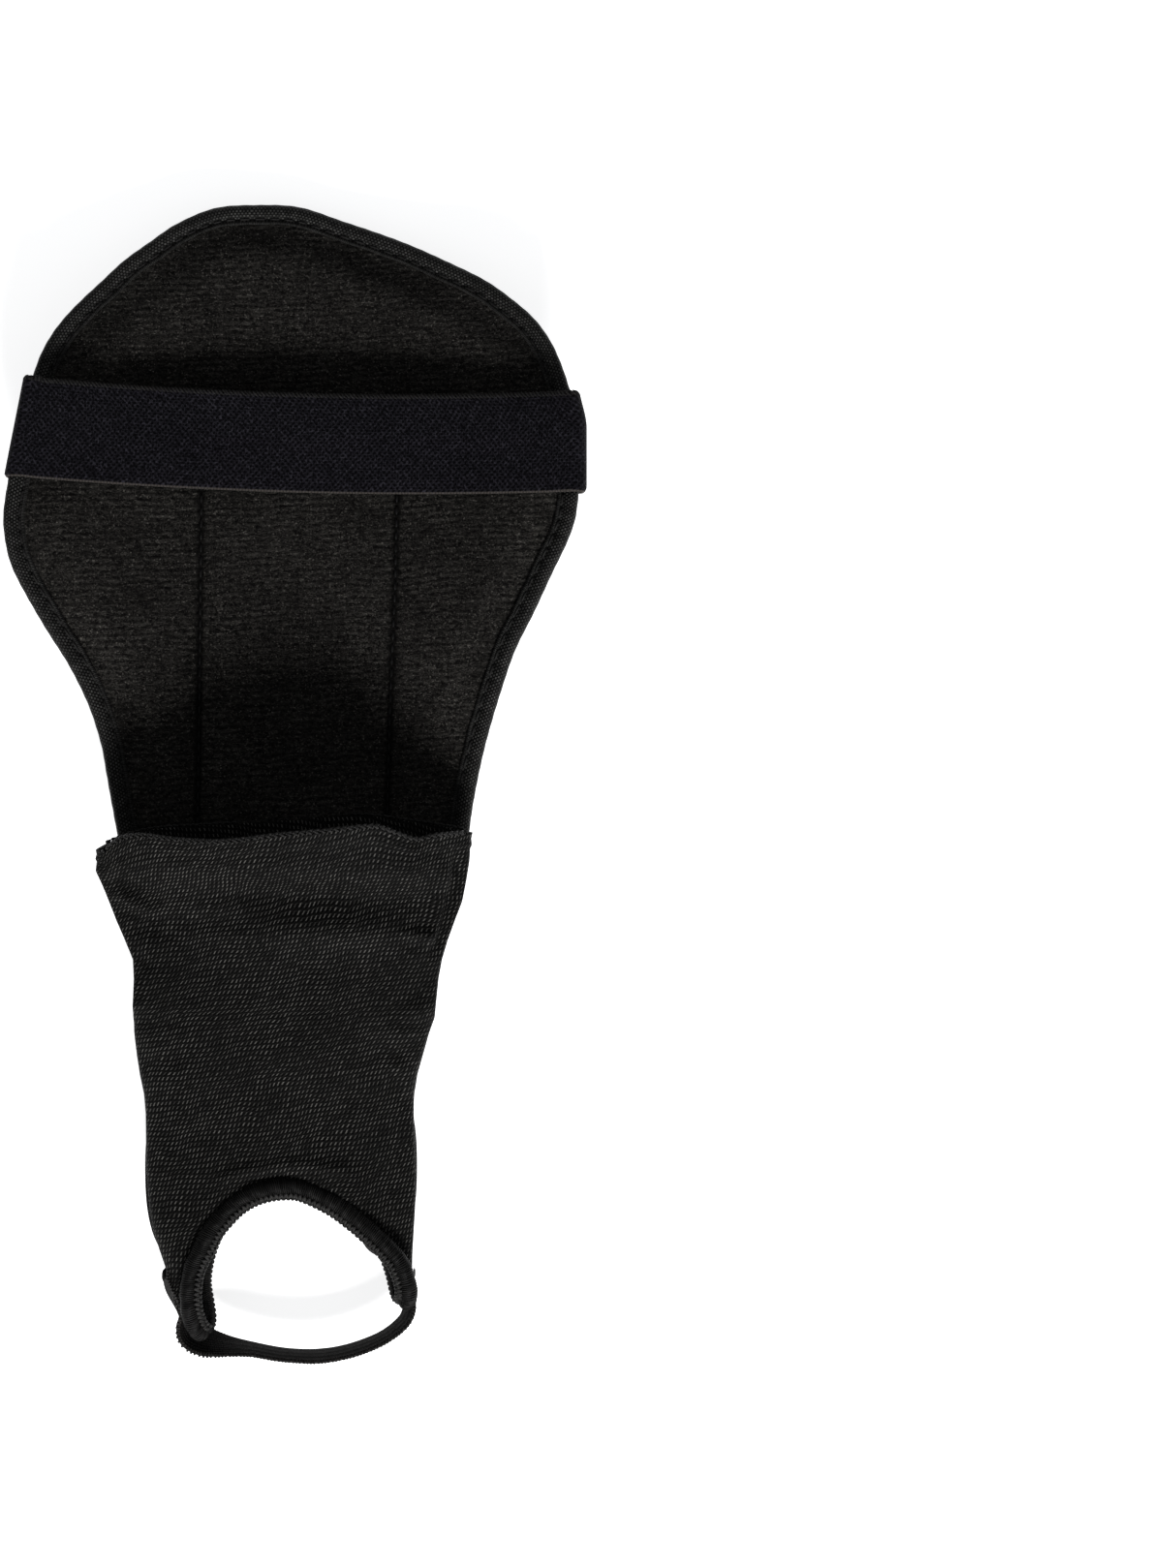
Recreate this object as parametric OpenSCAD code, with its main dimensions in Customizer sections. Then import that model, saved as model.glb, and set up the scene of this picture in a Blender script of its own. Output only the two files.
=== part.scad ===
// Football shin guard with ankle sleeve, left leg, lying front side down.
// +Y points to the knee, +Z points out of the inside (leg) face, +X is the medial side.
// Units are millimetres. The floor that the guard lies on is z = 0.

/* [Board] */
// Radius of the trough at the knee strap
trough_r = 128; // [115:1:145]
// Taper of the trough, radius lost per millimetre towards the ankle
taper = 0.2; // [0.12:0.01:0.24]
// Thickness of the hard front plate
shell_t = 2.2; // [1.8:0.1:2.4]
// Thickness of the EVA foam at the middle of the board
foam_t = 4.95; // [4:0.05:6]
// Thickness of the face and lining fabrics
cloth_t = 0.75; // [0.5:0.05:0.8]
// Gap left for each glue line
glue = 0.05; // [0.03:0.01:0.1]
// How far the hard plate stops inside the board's edge
shell_inset = 9; // [8:0.5:11]

/* [Edge binding] */
// Width of the nylon tape seen on each face
bind_w = 5.2; // [4.5:0.1:6]
// Thickness of the nylon tape
bind_t = 0.6; // [0.4:0.05:0.7]

/* [Calf strap] */
// Width of the elastic
strap_w = 25; // [25:1:30]
// Thickness of the elastic
strap_t = 1.2; // [1:0.1:1.4]
// Height of the strap's top face where it crosses the board's edges
strap_z = 33; // [32.8:0.1:36]
// How far the slack strap hangs into the trough at its middle
strap_sag = 14.2; // [0:0.2:16]
// Middle of the strap along the board
strap_y = 87.3; // [85:0.5:92]

/* [Ankle sleeve] */
// Thickness of the knit
knit_t = 1.2; // [0.9:0.1:1.4]
// Diameter of the overlocked rim
rim_d = 3.8; // [3.4:0.1:4]
// Width of the elastic under the foot
stirrup_w = 10; // [8:0.5:10]
// Thickness of the ankle bone pads with their covers
pad_t = 5.2; // [4:0.1:5.2]

/* [Hidden] */
$fn = 96;

// ---------- the trough: parallel cones that share one tilted axis ----------
apex_y = 90 - trough_r / taper;
ca = sqrt(1 - taper * taper);
tilt = asin(taper);
// Height of the trough's face that lies t inside its outermost face
function zc(x, y, t) = let(vy = y - apex_y - ca * t / taper, k = ca * ca - taper * taper,
  q = vy * ca * taper) t + (q - sqrt(max(q * q - k * ca * ca * x * x, 0))) / k;
// Solid cone inside the face at depth t, cut to the length of the board
module cone_in(t) {
  s0 = 420;
  s1 = 760;
  translate([0, apex_y, 0]) rotate([-90 + tilt, 0, 0]) translate([0, 0, s0])
    cylinder(h = s1 - s0, r1 = s0 * tan(tilt) - t / ca, r2 = s1 * tan(tilt) - t / ca);
}
// Layer of the trough between depths t0 and t1
module layer(t0, t1) { difference() { cone_in(t0); cone_in(t1); } }

// ---------- the board's outline ----------
// Outer edge of the binding, clockwise from the peak
edge_pts = [[-12, 149], [0, 148.5], [12, 144.5], [26, 139.5], [38, 134], [47.5, 129], [55, 123.5],
  [60.5, 118.5], [64.5, 113], [67, 108], [69, 102.5], [71, 95], [72, 87], [72.2, 78], [71.4, 68.5],
  [70, 63.5], [68, 59], [65.5, 54], [61, 44.5], [56, 34.5], [52.5, 24.5], [49.5, 14.5], [47, 5],
  [45, -5], [43.5, -15], [41.5, -25], [38.5, -34], [34, -43], [27, -50.5], [18, -55.5], [7, -58],
  [-5, -58], [-16, -55.5], [-25.5, -50.5], [-33, -43], [-38.5, -34], [-42.5, -25], [-45.5, -15],
  [-47.5, -5], [-48.8, 3], [-50, 10], [-53, 20], [-57.5, 29.5], [-63.5, 39.5], [-68.5, 48.5],
  [-71.5, 55], [-73, 61], [-73.6, 68], [-72.9, 76], [-71.8, 86], [-69.9, 95], [-67.4, 103],
  [-65, 109], [-62, 114.5], [-58.5, 119.5], [-54.5, 124], [-50, 128.5], [-44.5, 134], [-38, 139],
  [-31, 144], [-22, 148]];
en = len(edge_pts);
function cr(a, b, c, d, u) = 0.5 * (2 * b + (c - a) * u + (2 * a - 5 * b + 4 * c - d) * u * u
  + (3 * b - a - 3 * c + d) * u * u * u);
edge_fine = [for (i = [0 : en - 1]) for (u = [0, 0.5])
  cr(edge_pts[(i + en - 1) % en], edge_pts[i], edge_pts[(i + 1) % en], edge_pts[(i + 2) % en], u)];
fn = len(edge_fine);
function unit(v) = v / norm(v);
// The outline moved outwards by d
function outline(d) = [for (i = [0 : fn - 1]) let(v = edge_fine[(i + 1) % fn] - edge_fine[(i + fn - 1) % fn],
  w = unit(v)) edge_fine[i] + d * [-w[1], w[0]]];
module plan(d, h = 60) { translate([0, 0, -8]) linear_extrude(height = h) polygon(outline(d)); }
module plan_ring(d0, d1) { difference() { plan(d0); plan(d1); } }
module slab(x0, x1, y0, y1, z0 = -10, z1 = 60) { translate([x0, y0, z0]) cube([x1 - x0, y1 - y0, z1 - z0]); }

// depths of the layers, measured inwards from the ribs' crests
rib_t = 1;
d_shell = rib_t + shell_t;
d_cov0 = d_shell + glue;
d_cov1 = d_cov0 + cloth_t;
d_foam0 = d_cov1 + glue;
d_foam1 = d_foam0 + foam_t;
d_skirt = d_foam0 + 1.35;
d_lin0 = d_foam1 + glue;
d_lin1 = d_lin0 + cloth_t;
d_sk0 = d_skirt + glue;
d_sk1 = d_sk0 + cloth_t;
edge_in = 1;
ramp = 7.2;

module front_shell() {
  color([0.05, 0.05, 0.055]) difference() {
    union() {
      intersection() { layer(rib_t, d_shell); plan(-shell_inset); }
      // raised ribs: one keel rib and two side ribs
      intersection() {
        layer(0, rib_t + 0.05);
        plan(-shell_inset - 6);
        union() {
          slab(-4, 4, -36, 128);
          slab(-17, -12, -26, 112);
          slab(12, 17, -26, 112);
        }
      }
    }
    // grooves that the channel seams are sewn in
    for (x = [-25, 25]) intersection() { layer(-3, rib_t + 1.2); slab(x - 1.6, x + 1.6, -60, 160); }
    // vent slots
    for (x = [-36, 36]) for (k = [0 : 3]) translate([x, 30 + k * 13, -5]) hull_slot(6, 3.4, 40);
    for (x = [-8, 8]) for (k = [0 : 5]) translate([x, -14 + k * 22, -5]) hull_slot(10, 3, 40, 90);
  }
}
// A slot with round ends, cut through along Z
module hull_slot(l, w, h, a = 0) {
  rotate([0, 0, a]) union() {
    for (s = [-1, 1]) translate([s * l / 2, 0, 0]) cylinder(d = w, h = h, $fn = 24);
    translate([-l / 2, -w / 2, 0]) cube([l, w, h]);
  }
}

module front_cover() {
  color([0.06, 0.06, 0.06]) intersection() { layer(d_cov0, d_cov1); plan(-edge_in); }
}

module foam_pad() {
  color([0.16, 0.16, 0.17]) union() {
    intersection() { layer(d_foam0, d_foam1); plan(-ramp - cloth_t - glue); }
    intersection() { layer(d_foam0, d_skirt); plan(-edge_in - glue); }
  }
}

module inner_lining() {
  color([0.08, 0.075, 0.07]) union() {
    intersection() { layer(d_lin0, d_lin1); plan(-ramp); }
    intersection() { layer(d_sk0, d_lin1); plan_ring(-ramp, -ramp - cloth_t); }
    intersection() { layer(d_sk0, d_sk1); plan_ring(-edge_in - glue, -ramp - 0.1); }
  }
}

module edge_binding() {
  color([0.07, 0.07, 0.07]) difference() {
    intersection() { layer(d_cov0 - glue - bind_t, d_sk1 + glue + bind_t); plan_ring(0, -bind_w); }
    intersection() { layer(d_cov0 - glue, d_sk1 + glue); plan(-edge_in + glue); }
  }
}

module binding_stitch() {
  color([0.1, 0.1, 0.1]) for (d = [[d_sk1 + glue + bind_t, d_sk1 + glue + bind_t + 0.2],
    [d_cov0 - glue - bind_t - 0.2, d_cov0 - glue - bind_t]])
    intersection() { layer(d[0], d[1]); plan_ring(-bind_w + 1.2, -bind_w + 0.8); }
}

seam_y0 = -44;
seam_y1 = 96;
module channel_seam(x) {
  color([0.05, 0.05, 0.05]) intersection() {
    union() { layer(d_lin1, d_lin1 + 0.15); layer(rib_t + 1, rib_t + 1.2); }
    slab(x - 0.3, x + 0.3, seam_y0, seam_y1);
  }
}
module channel_seam_lateral() { channel_seam(-25); }
module channel_seam_medial() { channel_seam(25); }

// ---------- strap ----------
sy0 = strap_y - strap_w / 2;
sy1 = strap_y + strap_w / 2;
wrap = 0.15;
d_right = rib_t - 0.1;
d_left = -2.75;
function strap_top(x) = strap_z - strap_sag * max(0, 1 - pow(x / 71, 2));
// Everything below the strap's top face moved by dz
module under(dz) {
  translate([0, sy1 + 5, 0]) rotate([90, 0, 0]) linear_extrude(height = strap_w + 10)
    polygon(concat([[90, -12], [-90, -12]], [for (x = [-90 : 5 : 90]) [x, strap_top(x) + dz]]));
}
// Half of the strap: span, fold over the board's edge, and the run on the front down to x_end
module strap_half(x0, x1, d, c0, c1) {
  difference() {
    intersection() {
      plan(wrap + strap_t);
      slab(x0, x1, sy0, sy1, -12);
      under(0);
      cone_in(d);
    }
    intersection() {
      plan(wrap);
      slab(x0 - 1, x1 + 1, sy0 - 1, sy1 + 1, -12);
      under(-strap_t);
      cone_in(d + strap_t);
    }
    intersection() {
      slab(c0, c1, sy0 - 1, sy1 + 1, -13);
      under(-strap_t);
    }
  }
}
module calf_strap() {
  color([0.055, 0.055, 0.075]) union() {
    strap_half(-90, 0, d_left, -64.5, 1);
    strap_half(0, 90, d_right - strap_t, -1, 36);
  }
}
// flat frame of stitches between x0..x1 with a cross in it, cut from a thin layer
module box_stitch(x0, x1, t0, t1, cross = true) {
  w = 0.6;
  intersection() {
    layer(t0, t1);
    union() {
      difference() { slab(x0, x1, sy0 + 2.5, sy1 - 2.5); slab(x0 + w, x1 - w, sy0 + 2.5 + w, sy1 - 2.5 - w); }
      if (cross) translate([0, 0, -10]) linear_extrude(height = 70) for (s = [0, 1])
        polygon([[x0 + 0.2, s ? sy1 - 2.8 : sy0 + 2.8], [x0 + 0.9, s ? sy1 - 2.8 : sy0 + 2.8],
          [x1 - 0.2, s ? sy0 + 2.8 : sy1 - 2.8], [x1 - 0.9, s ? sy0 + 2.8 : sy1 - 2.8]]);
    }
  }
}
module strap_anchor_stitch() { color([0.12, 0.12, 0.12]) box_stitch(39, 56, d_right - strap_t - 0.2, d_right - strap_t); }

tab_x0 = -60.5;
tab_x1 = -33;
module hook_tab() {
  color([0.055, 0.055, 0.075]) intersection() {
    layer(d_left, d_left + strap_t);
    union() {
      slab(tab_x0, tab_x1 - 6, sy0, sy1);
      slab(tab_x1 - 6.1, tab_x1, sy0 + 6, sy1 - 6);
      for (y = [sy0 + 6, sy1 - 6]) translate([tab_x1 - 6, y, -10]) cylinder(r = 6, h = 70, $fn = 48);
    }
  }
}
module hook_patch() {
  color([0.03, 0.03, 0.03]) intersection() {
    layer(d_left + strap_t + glue, rib_t - 1.5);
    slab(tab_x0 + 3, tab_x1 - 3.5, sy0 + 1.5, sy1 - 1.5);
  }
}
module tab_stitch() { color([0.12, 0.12, 0.12]) box_stitch(tab_x0 + 4, tab_x1 - 5, d_left - 0.2, d_left, false); }
module loop_patch() {
  color([0.04, 0.04, 0.04]) intersection() {
    layer(rib_t - 1.2, rib_t - glue);
    slab(-60, -28, sy0 - 4, sy1 + 4);
    plan(-shell_inset - 0.5);
  }
}
module loop_patch_stitch() {
  color([0.12, 0.12, 0.12]) intersection() {
    layer(rib_t - 1.35, rib_t - 1.2);
    plan(-shell_inset - 1.5);
    union() {
      slab(-58.5, -29.5, sy0 - 3, sy0 - 2.4);
      slab(-58.5, -29.5, sy1 + 2.4, sy1 + 3);
      slab(-29.9, -29.3, sy0 - 2.4, sy1 + 2.4);
    }
  }
}

// ---------- ankle sleeve ----------
// stations: [y, lateral edge x, medial edge x, lowest z, highest z]
hinge_y = -61.5;
hinge_z = 17;
upper_st = [[-13, -49.5, 44.6, 40.5], [-19, -50.2, 44.3, 38], [-26, -48.6, 43.2, 34], [-33, -46, 41, 30.2],
  [-40, -43.4, 38.6, 27.6], [-47, -41.6, 36.8, 25.9], [-54, -41.5, 35.8, 25], [-60.5, -41.6, 35, 24.4]];
lower_st = [[-62.7, -41.6, 34.4, 9.4, 24.2], [-68, -41.1, 32.6, 7.4, 23.2], [-74, -40.3, 31, 6.2, 22],
  [-80, -39.4, 30.4, 5.6, 21], [-88, -39.3, 30.4, 5.6, 20], [-97, -39.3, 30.6, 5.6, 19.4],
  [-106, -38.9, 31, 5.6, 19.2], [-114, -37.6, 31.6, 5.6, 19.2], [-123.4, -35.6, 32.2, 5.6, 19]];
rn = 40;
function sgnpow(v, p) = sign(v) * pow(abs(v), p);
// one ring of the flattened tube in the trough, k inside its outer face
function ring_up(s, k) = [for (i = [0 : rn - 1]) let(a = 360 * i / rn, hw = (s[2] - s[1]) / 2 - k,
  cx = (s[2] + s[1]) / 2, x = cx + hw * sgnpow(cos(a), 0.8), zb = zc(x, s[0], d_lin1 + 0.35 + k),
  zt = s[3] - k, m = min(zt - 2.5, max(zb + 1.2, 19)), e = pow(abs(sin(a)), 0.6))
  [x, s[0], sin(a) >= 0 ? m + (zt - m) * e : m + (min(zb, m - 0.4 + k) - m) * e]];
function ring_lo(s, k) = [for (i = [0 : rn - 1]) let(a = 360 * i / rn, hw = (s[2] - s[1]) / 2 - k,
  cx = (s[2] + s[1]) / 2, hz = (s[4] - s[3]) / 2 - k, cz = (s[4] + s[3]) / 2)
  [cx + hw * sgnpow(cos(a), 0.8), s[0], cz + hz * sgnpow(sin(a), 0.6)]];
// open tube with a wall: outer rings o, inner rings q
module tube(o, q) {
  m = len(o);
  n = len(o[0]);
  pts = concat([for (r = o) each r], [for (r = q) each r]);
  b = m * n;
  polyhedron(points = pts, convexity = 6, faces = concat(
    [for (j = [0 : m - 2]) for (i = [0 : n - 1]) let(k = (i + 1) % n) each
      [[j * n + i, j * n + k, (j + 1) * n + k], [j * n + i, (j + 1) * n + k, (j + 1) * n + i]]],
    [for (j = [0 : m - 2]) for (i = [0 : n - 1]) let(k = (i + 1) % n) each
      [[b + j * n + i, b + (j + 1) * n + k, b + j * n + k], [b + j * n + i, b + (j + 1) * n + i, b + (j + 1) * n + k]]],
    [for (i = [0 : n - 1]) let(k = (i + 1) % n) each [[i, b + k, k], [i, b + i, b + k]]],
    [for (i = [0 : n - 1]) let(k = (i + 1) % n, e = (m - 1) * n) each
      [[e + i, e + k, b + e + k], [e + i, b + e + k, b + e + i]]]));
}
hem_y = -16.5;
module sleeve_upper() {
  color([0.09, 0.09, 0.085]) intersection() {
    tube([for (s = upper_st) ring_up(s, 0)], [for (s = upper_st) ring_up(s, knit_t)]);
    slab(-60, 60, -61, hem_y);
  }
}
// turned and overlocked edge at the top of the sleeve
function mid_st(y) = let(a = upper_st[0], b = upper_st[1], u = (y - a[0]) / (b[0] - a[0])) a + (b - a) * u;
hem_st = [mid_st(-13.05), mid_st(hem_y + 0.05)];
module sleeve_top_hem() {
  color([0.08, 0.08, 0.075])
    tube([for (s = hem_st) ring_up(s, -0.3)], [for (s = hem_st) ring_up(s, knit_t)]);
}
// opening for the foot: clockwise from the lateral lobe
open_pts = [[-24, -134], [-25.8, -129], [-24.8, -123], [-22, -117], [-17, -111.5], [-10, -107.5],
  [-2, -106], [6, -107.5], [13.5, -112], [19.5, -117.5], [23, -123], [24.6, -129], [24, -134]];
module opening_cut(d) {
  translate([0, 0, -5]) linear_extrude(height = 50) polygon(concat(
    [for (i = [0 : len(open_pts) - 1]) let(a = open_pts[max(i - 1, 0)], b = open_pts[min(i + 1, len(open_pts) - 1)],
      w = unit(b - a)) open_pts[i] + d * [-w[1], w[0]]], [[24 + d, -160], [-24 - d, -160]]));
}
module sleeve_lower() {
  color([0.09, 0.09, 0.085]) difference() {
    tube([for (s = lower_st) ring_lo(s, 0)], [for (s = lower_st) ring_lo(s, knit_t)]);
    opening_cut(rim_d + 0.8);
    // room for the sleeve to fold at the board's tip
    translate([-60, hinge_y, hinge_z]) rotate([90, 0, 90]) linear_extrude(height = 120)
      polygon([[-1.2, 0], [-9, 12], [10, 12], [10, -14], [-4.7, -14]]);
  }
}
// overlocked rim: closed loop over the heel arch, round both lobes and over the instep arch
rim_pts = [[-25.4, -134.2, 12], [-27.3, -129.6, 15], [-26.8, -123, 17], [-23.8, -115.6, 17.4],
  [-18, -109.6, 17.4], [-10.6, -105.5, 17.4], [-2, -104.1, 17.4], [6.8, -105.5, 17.4],
  [14.8, -110.2, 17.4], [21.2, -116, 17.2], [25, -122.4, 16.8], [26.2, -128.4, 15], [25.2, -133, 12],
  [26.2, -128.4, 9.2], [25, -122.4, 7.6], [21.2, -116, 7.5], [14.8, -110.2, 7.5], [6.8, -105.5, 7.5],
  [-2, -104.1, 7.5], [-10.6, -105.5, 7.5], [-18, -109.6, 7.5], [-23.8, -115.6, 7.5],
  [-26.8, -123, 7.6], [-27.3, -129.6, 9.2]];
module loop_sweep(p, r, sides = 8) {
  n = len(p);
  pts = [for (i = [0 : n - 1]) let(t = unit(p[(i + 1) % n] - p[(i + n - 1) % n]),
    c = [0, -118, 12.4], q = p[i] - c, o = unit(q - (q * t) * t), s = cross(t, o))
    each [for (k = [0 : sides - 1]) p[i] + r * (cos(360 * k / sides) * o + sin(360 * k / sides) * s)]];
  polyhedron(points = pts, convexity = 6, faces = [for (i = [0 : n - 1]) for (k = [0 : sides - 1])
    let(j = (i + 1) % n, l = (k + 1) % sides) each
    [[i * sides + k, j * sides + l, i * sides + l], [i * sides + k, j * sides + k, j * sides + l]]]);
}
rn3 = len(rim_pts);
rim_fine = [for (i = [0 : rn3 - 1]) for (u = [0, 0.5])
  cr(rim_pts[(i + rn3 - 1) % rn3], rim_pts[i], rim_pts[(i + 1) % rn3], rim_pts[(i + 2) % rn3], u)];
module ankle_rim() { color([0.05, 0.05, 0.05]) loop_sweep(rim_fine, rim_d / 2); }

// ---------- ankle bone pads ----------
pad_c = [[-29.4, -99], [21.8, -98]];
pad_a = 8.6;
pad_b = 23;
function oval(c, a, b) = [for (i = [0 : 47]) [c[0] + a * cos(i * 7.5), c[1] + b * sin(i * 7.5)]];
module oval_slab(c, k, z0, z1) {
  translate([0, 0, z0]) linear_extrude(height = z1 - z0) polygon(oval(c, pad_a - k, pad_b - k));
}
module ankle_pad(c) { color([0.16, 0.16, 0.17]) oval_slab(c, 0.65, 0.65, pad_t - 0.65); }
module pad_cover(c) {
  color([0.06, 0.06, 0.06]) difference() {
    oval_slab(c, 0, 0, pad_t);
    oval_slab(c, 0.6, 0.6, pad_t - 0.6);
  }
}
module ankle_pad_lateral() { ankle_pad(pad_c[0]); }
module ankle_pad_medial() { ankle_pad(pad_c[1]); }
module pad_cover_lateral() { pad_cover(pad_c[0]); }
module pad_cover_medial() { pad_cover(pad_c[1]); }

// ---------- elastic under the foot ----------
stir_z = 9.5;
stir_pts = [[-31.4, -126.5], [-31.6, -130], [-31.8, -134], [-31.2, -140], [-28.6, -144.4], [-23.6, -146.6],
  [-17, -147.2], [-10, -147.8], [-2, -148.6], [5, -148.6], [11, -147.6], [17, -145.6], [22, -142.8],
  [26, -139], [29, -134.5], [30.3, -130], [30.6, -126.5]];
stir_t = 1.1;
sn = len(stir_pts);
stir_fine = [for (i = [0 : sn - 2]) for (u = [0, 0.5]) cr(stir_pts[max(i - 1, 0)], stir_pts[i],
  stir_pts[i + 1], stir_pts[min(i + 2, sn - 1)], u)];
function ribbon(p, d) = [for (i = [0 : len(p) - 1]) let(w = unit(p[min(i + 1, len(p) - 1)] - p[max(i - 1, 0)]))
  p[i] + d * [-w[1], w[0]]];
module foot_strap() {
  color([0.04, 0.04, 0.04]) translate([0, 0, stir_z - stirrup_w / 2]) linear_extrude(height = stirrup_w)
    polygon(concat(ribbon(stir_fine, 0), [for (i = [len(stir_fine) - 1 : -1 : 0]) ribbon(stir_fine, stir_t)[i]]));
}
// bar tacks that hold the elastic's ends to the two lobes
module bartack(x) { color([0.12, 0.12, 0.12]) slab(x, x + 0.35, -127, -123.6, stir_z - 4, stir_z + 4); }
module bartack_lateral() { bartack(-32.2); }
module bartack_medial() { bartack(31); }

front_shell();
front_cover();
foam_pad();
inner_lining();
edge_binding();
binding_stitch();
channel_seam_lateral();
channel_seam_medial();
calf_strap();
strap_anchor_stitch();
hook_tab();
hook_patch();
tab_stitch();
loop_patch();
loop_patch_stitch();
sleeve_upper();
sleeve_top_hem();
sleeve_lower();
ankle_rim();
ankle_pad_lateral();
ankle_pad_medial();
pad_cover_lateral();
pad_cover_medial();
foot_strap();
bartack_lateral();
bartack_medial();
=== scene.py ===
import math

import bmesh
import bpy
import numpy as np
from mathutils.bvhtree import BVHTree
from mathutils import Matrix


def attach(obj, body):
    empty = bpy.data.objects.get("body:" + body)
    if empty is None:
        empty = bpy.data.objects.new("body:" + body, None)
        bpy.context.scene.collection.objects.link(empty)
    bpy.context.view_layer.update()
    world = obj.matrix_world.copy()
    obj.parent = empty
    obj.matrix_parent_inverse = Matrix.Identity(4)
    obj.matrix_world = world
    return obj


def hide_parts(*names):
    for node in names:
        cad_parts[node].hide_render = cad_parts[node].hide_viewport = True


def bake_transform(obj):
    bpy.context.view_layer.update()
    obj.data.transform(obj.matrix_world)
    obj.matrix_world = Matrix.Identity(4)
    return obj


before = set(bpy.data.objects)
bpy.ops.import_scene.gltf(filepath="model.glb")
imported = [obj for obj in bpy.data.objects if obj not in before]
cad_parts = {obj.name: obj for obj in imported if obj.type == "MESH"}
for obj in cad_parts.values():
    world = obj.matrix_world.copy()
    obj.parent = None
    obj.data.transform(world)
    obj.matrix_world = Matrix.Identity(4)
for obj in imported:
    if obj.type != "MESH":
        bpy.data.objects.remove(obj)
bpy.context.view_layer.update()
MM = 0.001
rng = np.random.default_rng(7)


# ------------------------------------------------------------------ mesh tools
def patch(P, UV=None, mat=0):
    """A grid of points in mm, with its cloth coordinates in mm."""
    P = np.asarray(P, float)
    if UV is None:
        UV = np.zeros(P.shape[:2] + (2,))
    return [P, np.asarray(UV, float), mat]


def ends(P, UV=None, mat=0, at=(0, -1)):
    """Fans that close the two ends of a tube whose rings are the grid's rows."""
    out = []
    for k in at:
        ring = P[k]
        mid = np.repeat(ring.mean(axis=0)[None], len(ring), axis=0)
        uv = None if UV is None else np.stack([UV[k], UV[k]])
        out.append(patch(np.stack([ring, mid]), uv, mat))
    return out


def raw_object(name, verts, corner_lists, uv, mats, face_mat, smooth=True):
    me = bpy.data.meshes.new(name)
    F = len(corner_lists)
    me.vertices.add(len(verts))
    me.vertices.foreach_set("co", (np.asarray(verts) * MM).ravel())
    k = corner_lists.shape[1]
    me.loops.add(F * k)
    me.loops.foreach_set("vertex_index", corner_lists.ravel().astype(np.int32))
    me.polygons.add(F)
    me.polygons.foreach_set("loop_start", (np.arange(F) * k).astype(np.int32))
    me.polygons.foreach_set("material_index", np.asarray(face_mat, np.int32))
    me.polygons.foreach_set("use_smooth", np.full(F, smooth))
    layer = me.uv_layers.new(name="UVMap")
    layer.data.foreach_set("uv", (np.asarray(uv) / 100.0).ravel())
    me.update(calc_edges=True)
    for m in mats:
        me.materials.append(m)
    o = bpy.data.objects.new(name, me)
    bpy.context.scene.collection.objects.link(o)
    return o


def build(name, patches, mats, body=None, merge=2e-6, smooth=True, recalc=True):
    """Joins grids into one closed mesh. Points that coincide are merged, so edges shared by two grids close."""
    if not isinstance(mats, (list, tuple)):
        mats = [mats]
    V, C, U, M = [], [], [], []
    base = 0
    for P, UV, m in patches:
        a, b = P.shape[:2]
        V.append(P.reshape(-1, 3))
        idx = np.arange(a * b).reshape(a, b) + base
        q = np.stack([idx[:-1, :-1], idx[:-1, 1:], idx[1:, 1:], idx[1:, :-1]], -1).reshape(-1, 4)
        u = np.stack([UV[:-1, :-1], UV[:-1, 1:], UV[1:, 1:], UV[1:, :-1]], -2).reshape(-1, 2)
        C.append(q)
        U.append(u)
        M.append(np.full(len(q), m))
        base += a * b
    o = raw_object(name, np.concatenate(V), np.concatenate(C), np.concatenate(U), mats, np.concatenate(M), smooth)
    bm = bmesh.new()
    bm.from_mesh(o.data)
    bmesh.ops.remove_doubles(bm, verts=bm.verts, dist=merge)
    bad = [f for f in bm.faces if f.calc_area() < 1e-14]
    if bad:
        bmesh.ops.delete(bm, geom=bad, context="FACES_ONLY")
    if recalc:
        bmesh.ops.recalc_face_normals(bm, faces=bm.faces)
    bm.to_mesh(o.data)
    bm.free()
    if body:
        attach(o, body)
    return o


def slab(A, B, UV, mats=(0, 0, 0), wrap=False):
    """The closed skin between two grids of the same shape: face A, face B and the sides."""
    out = [patch(A, UV, mats[0]), patch(B, UV, mats[1])]
    out += [patch(np.stack([A[k], B[k]]), np.stack([UV[k], UV[k]]), mats[2]) for k in (0, -1)]
    if not wrap:
        out += [patch(np.stack([A[:, k], B[:, k]]), np.stack([UV[:, k], UV[:, k]]), mats[2]) for k in (0, -1)]
    return out


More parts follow.
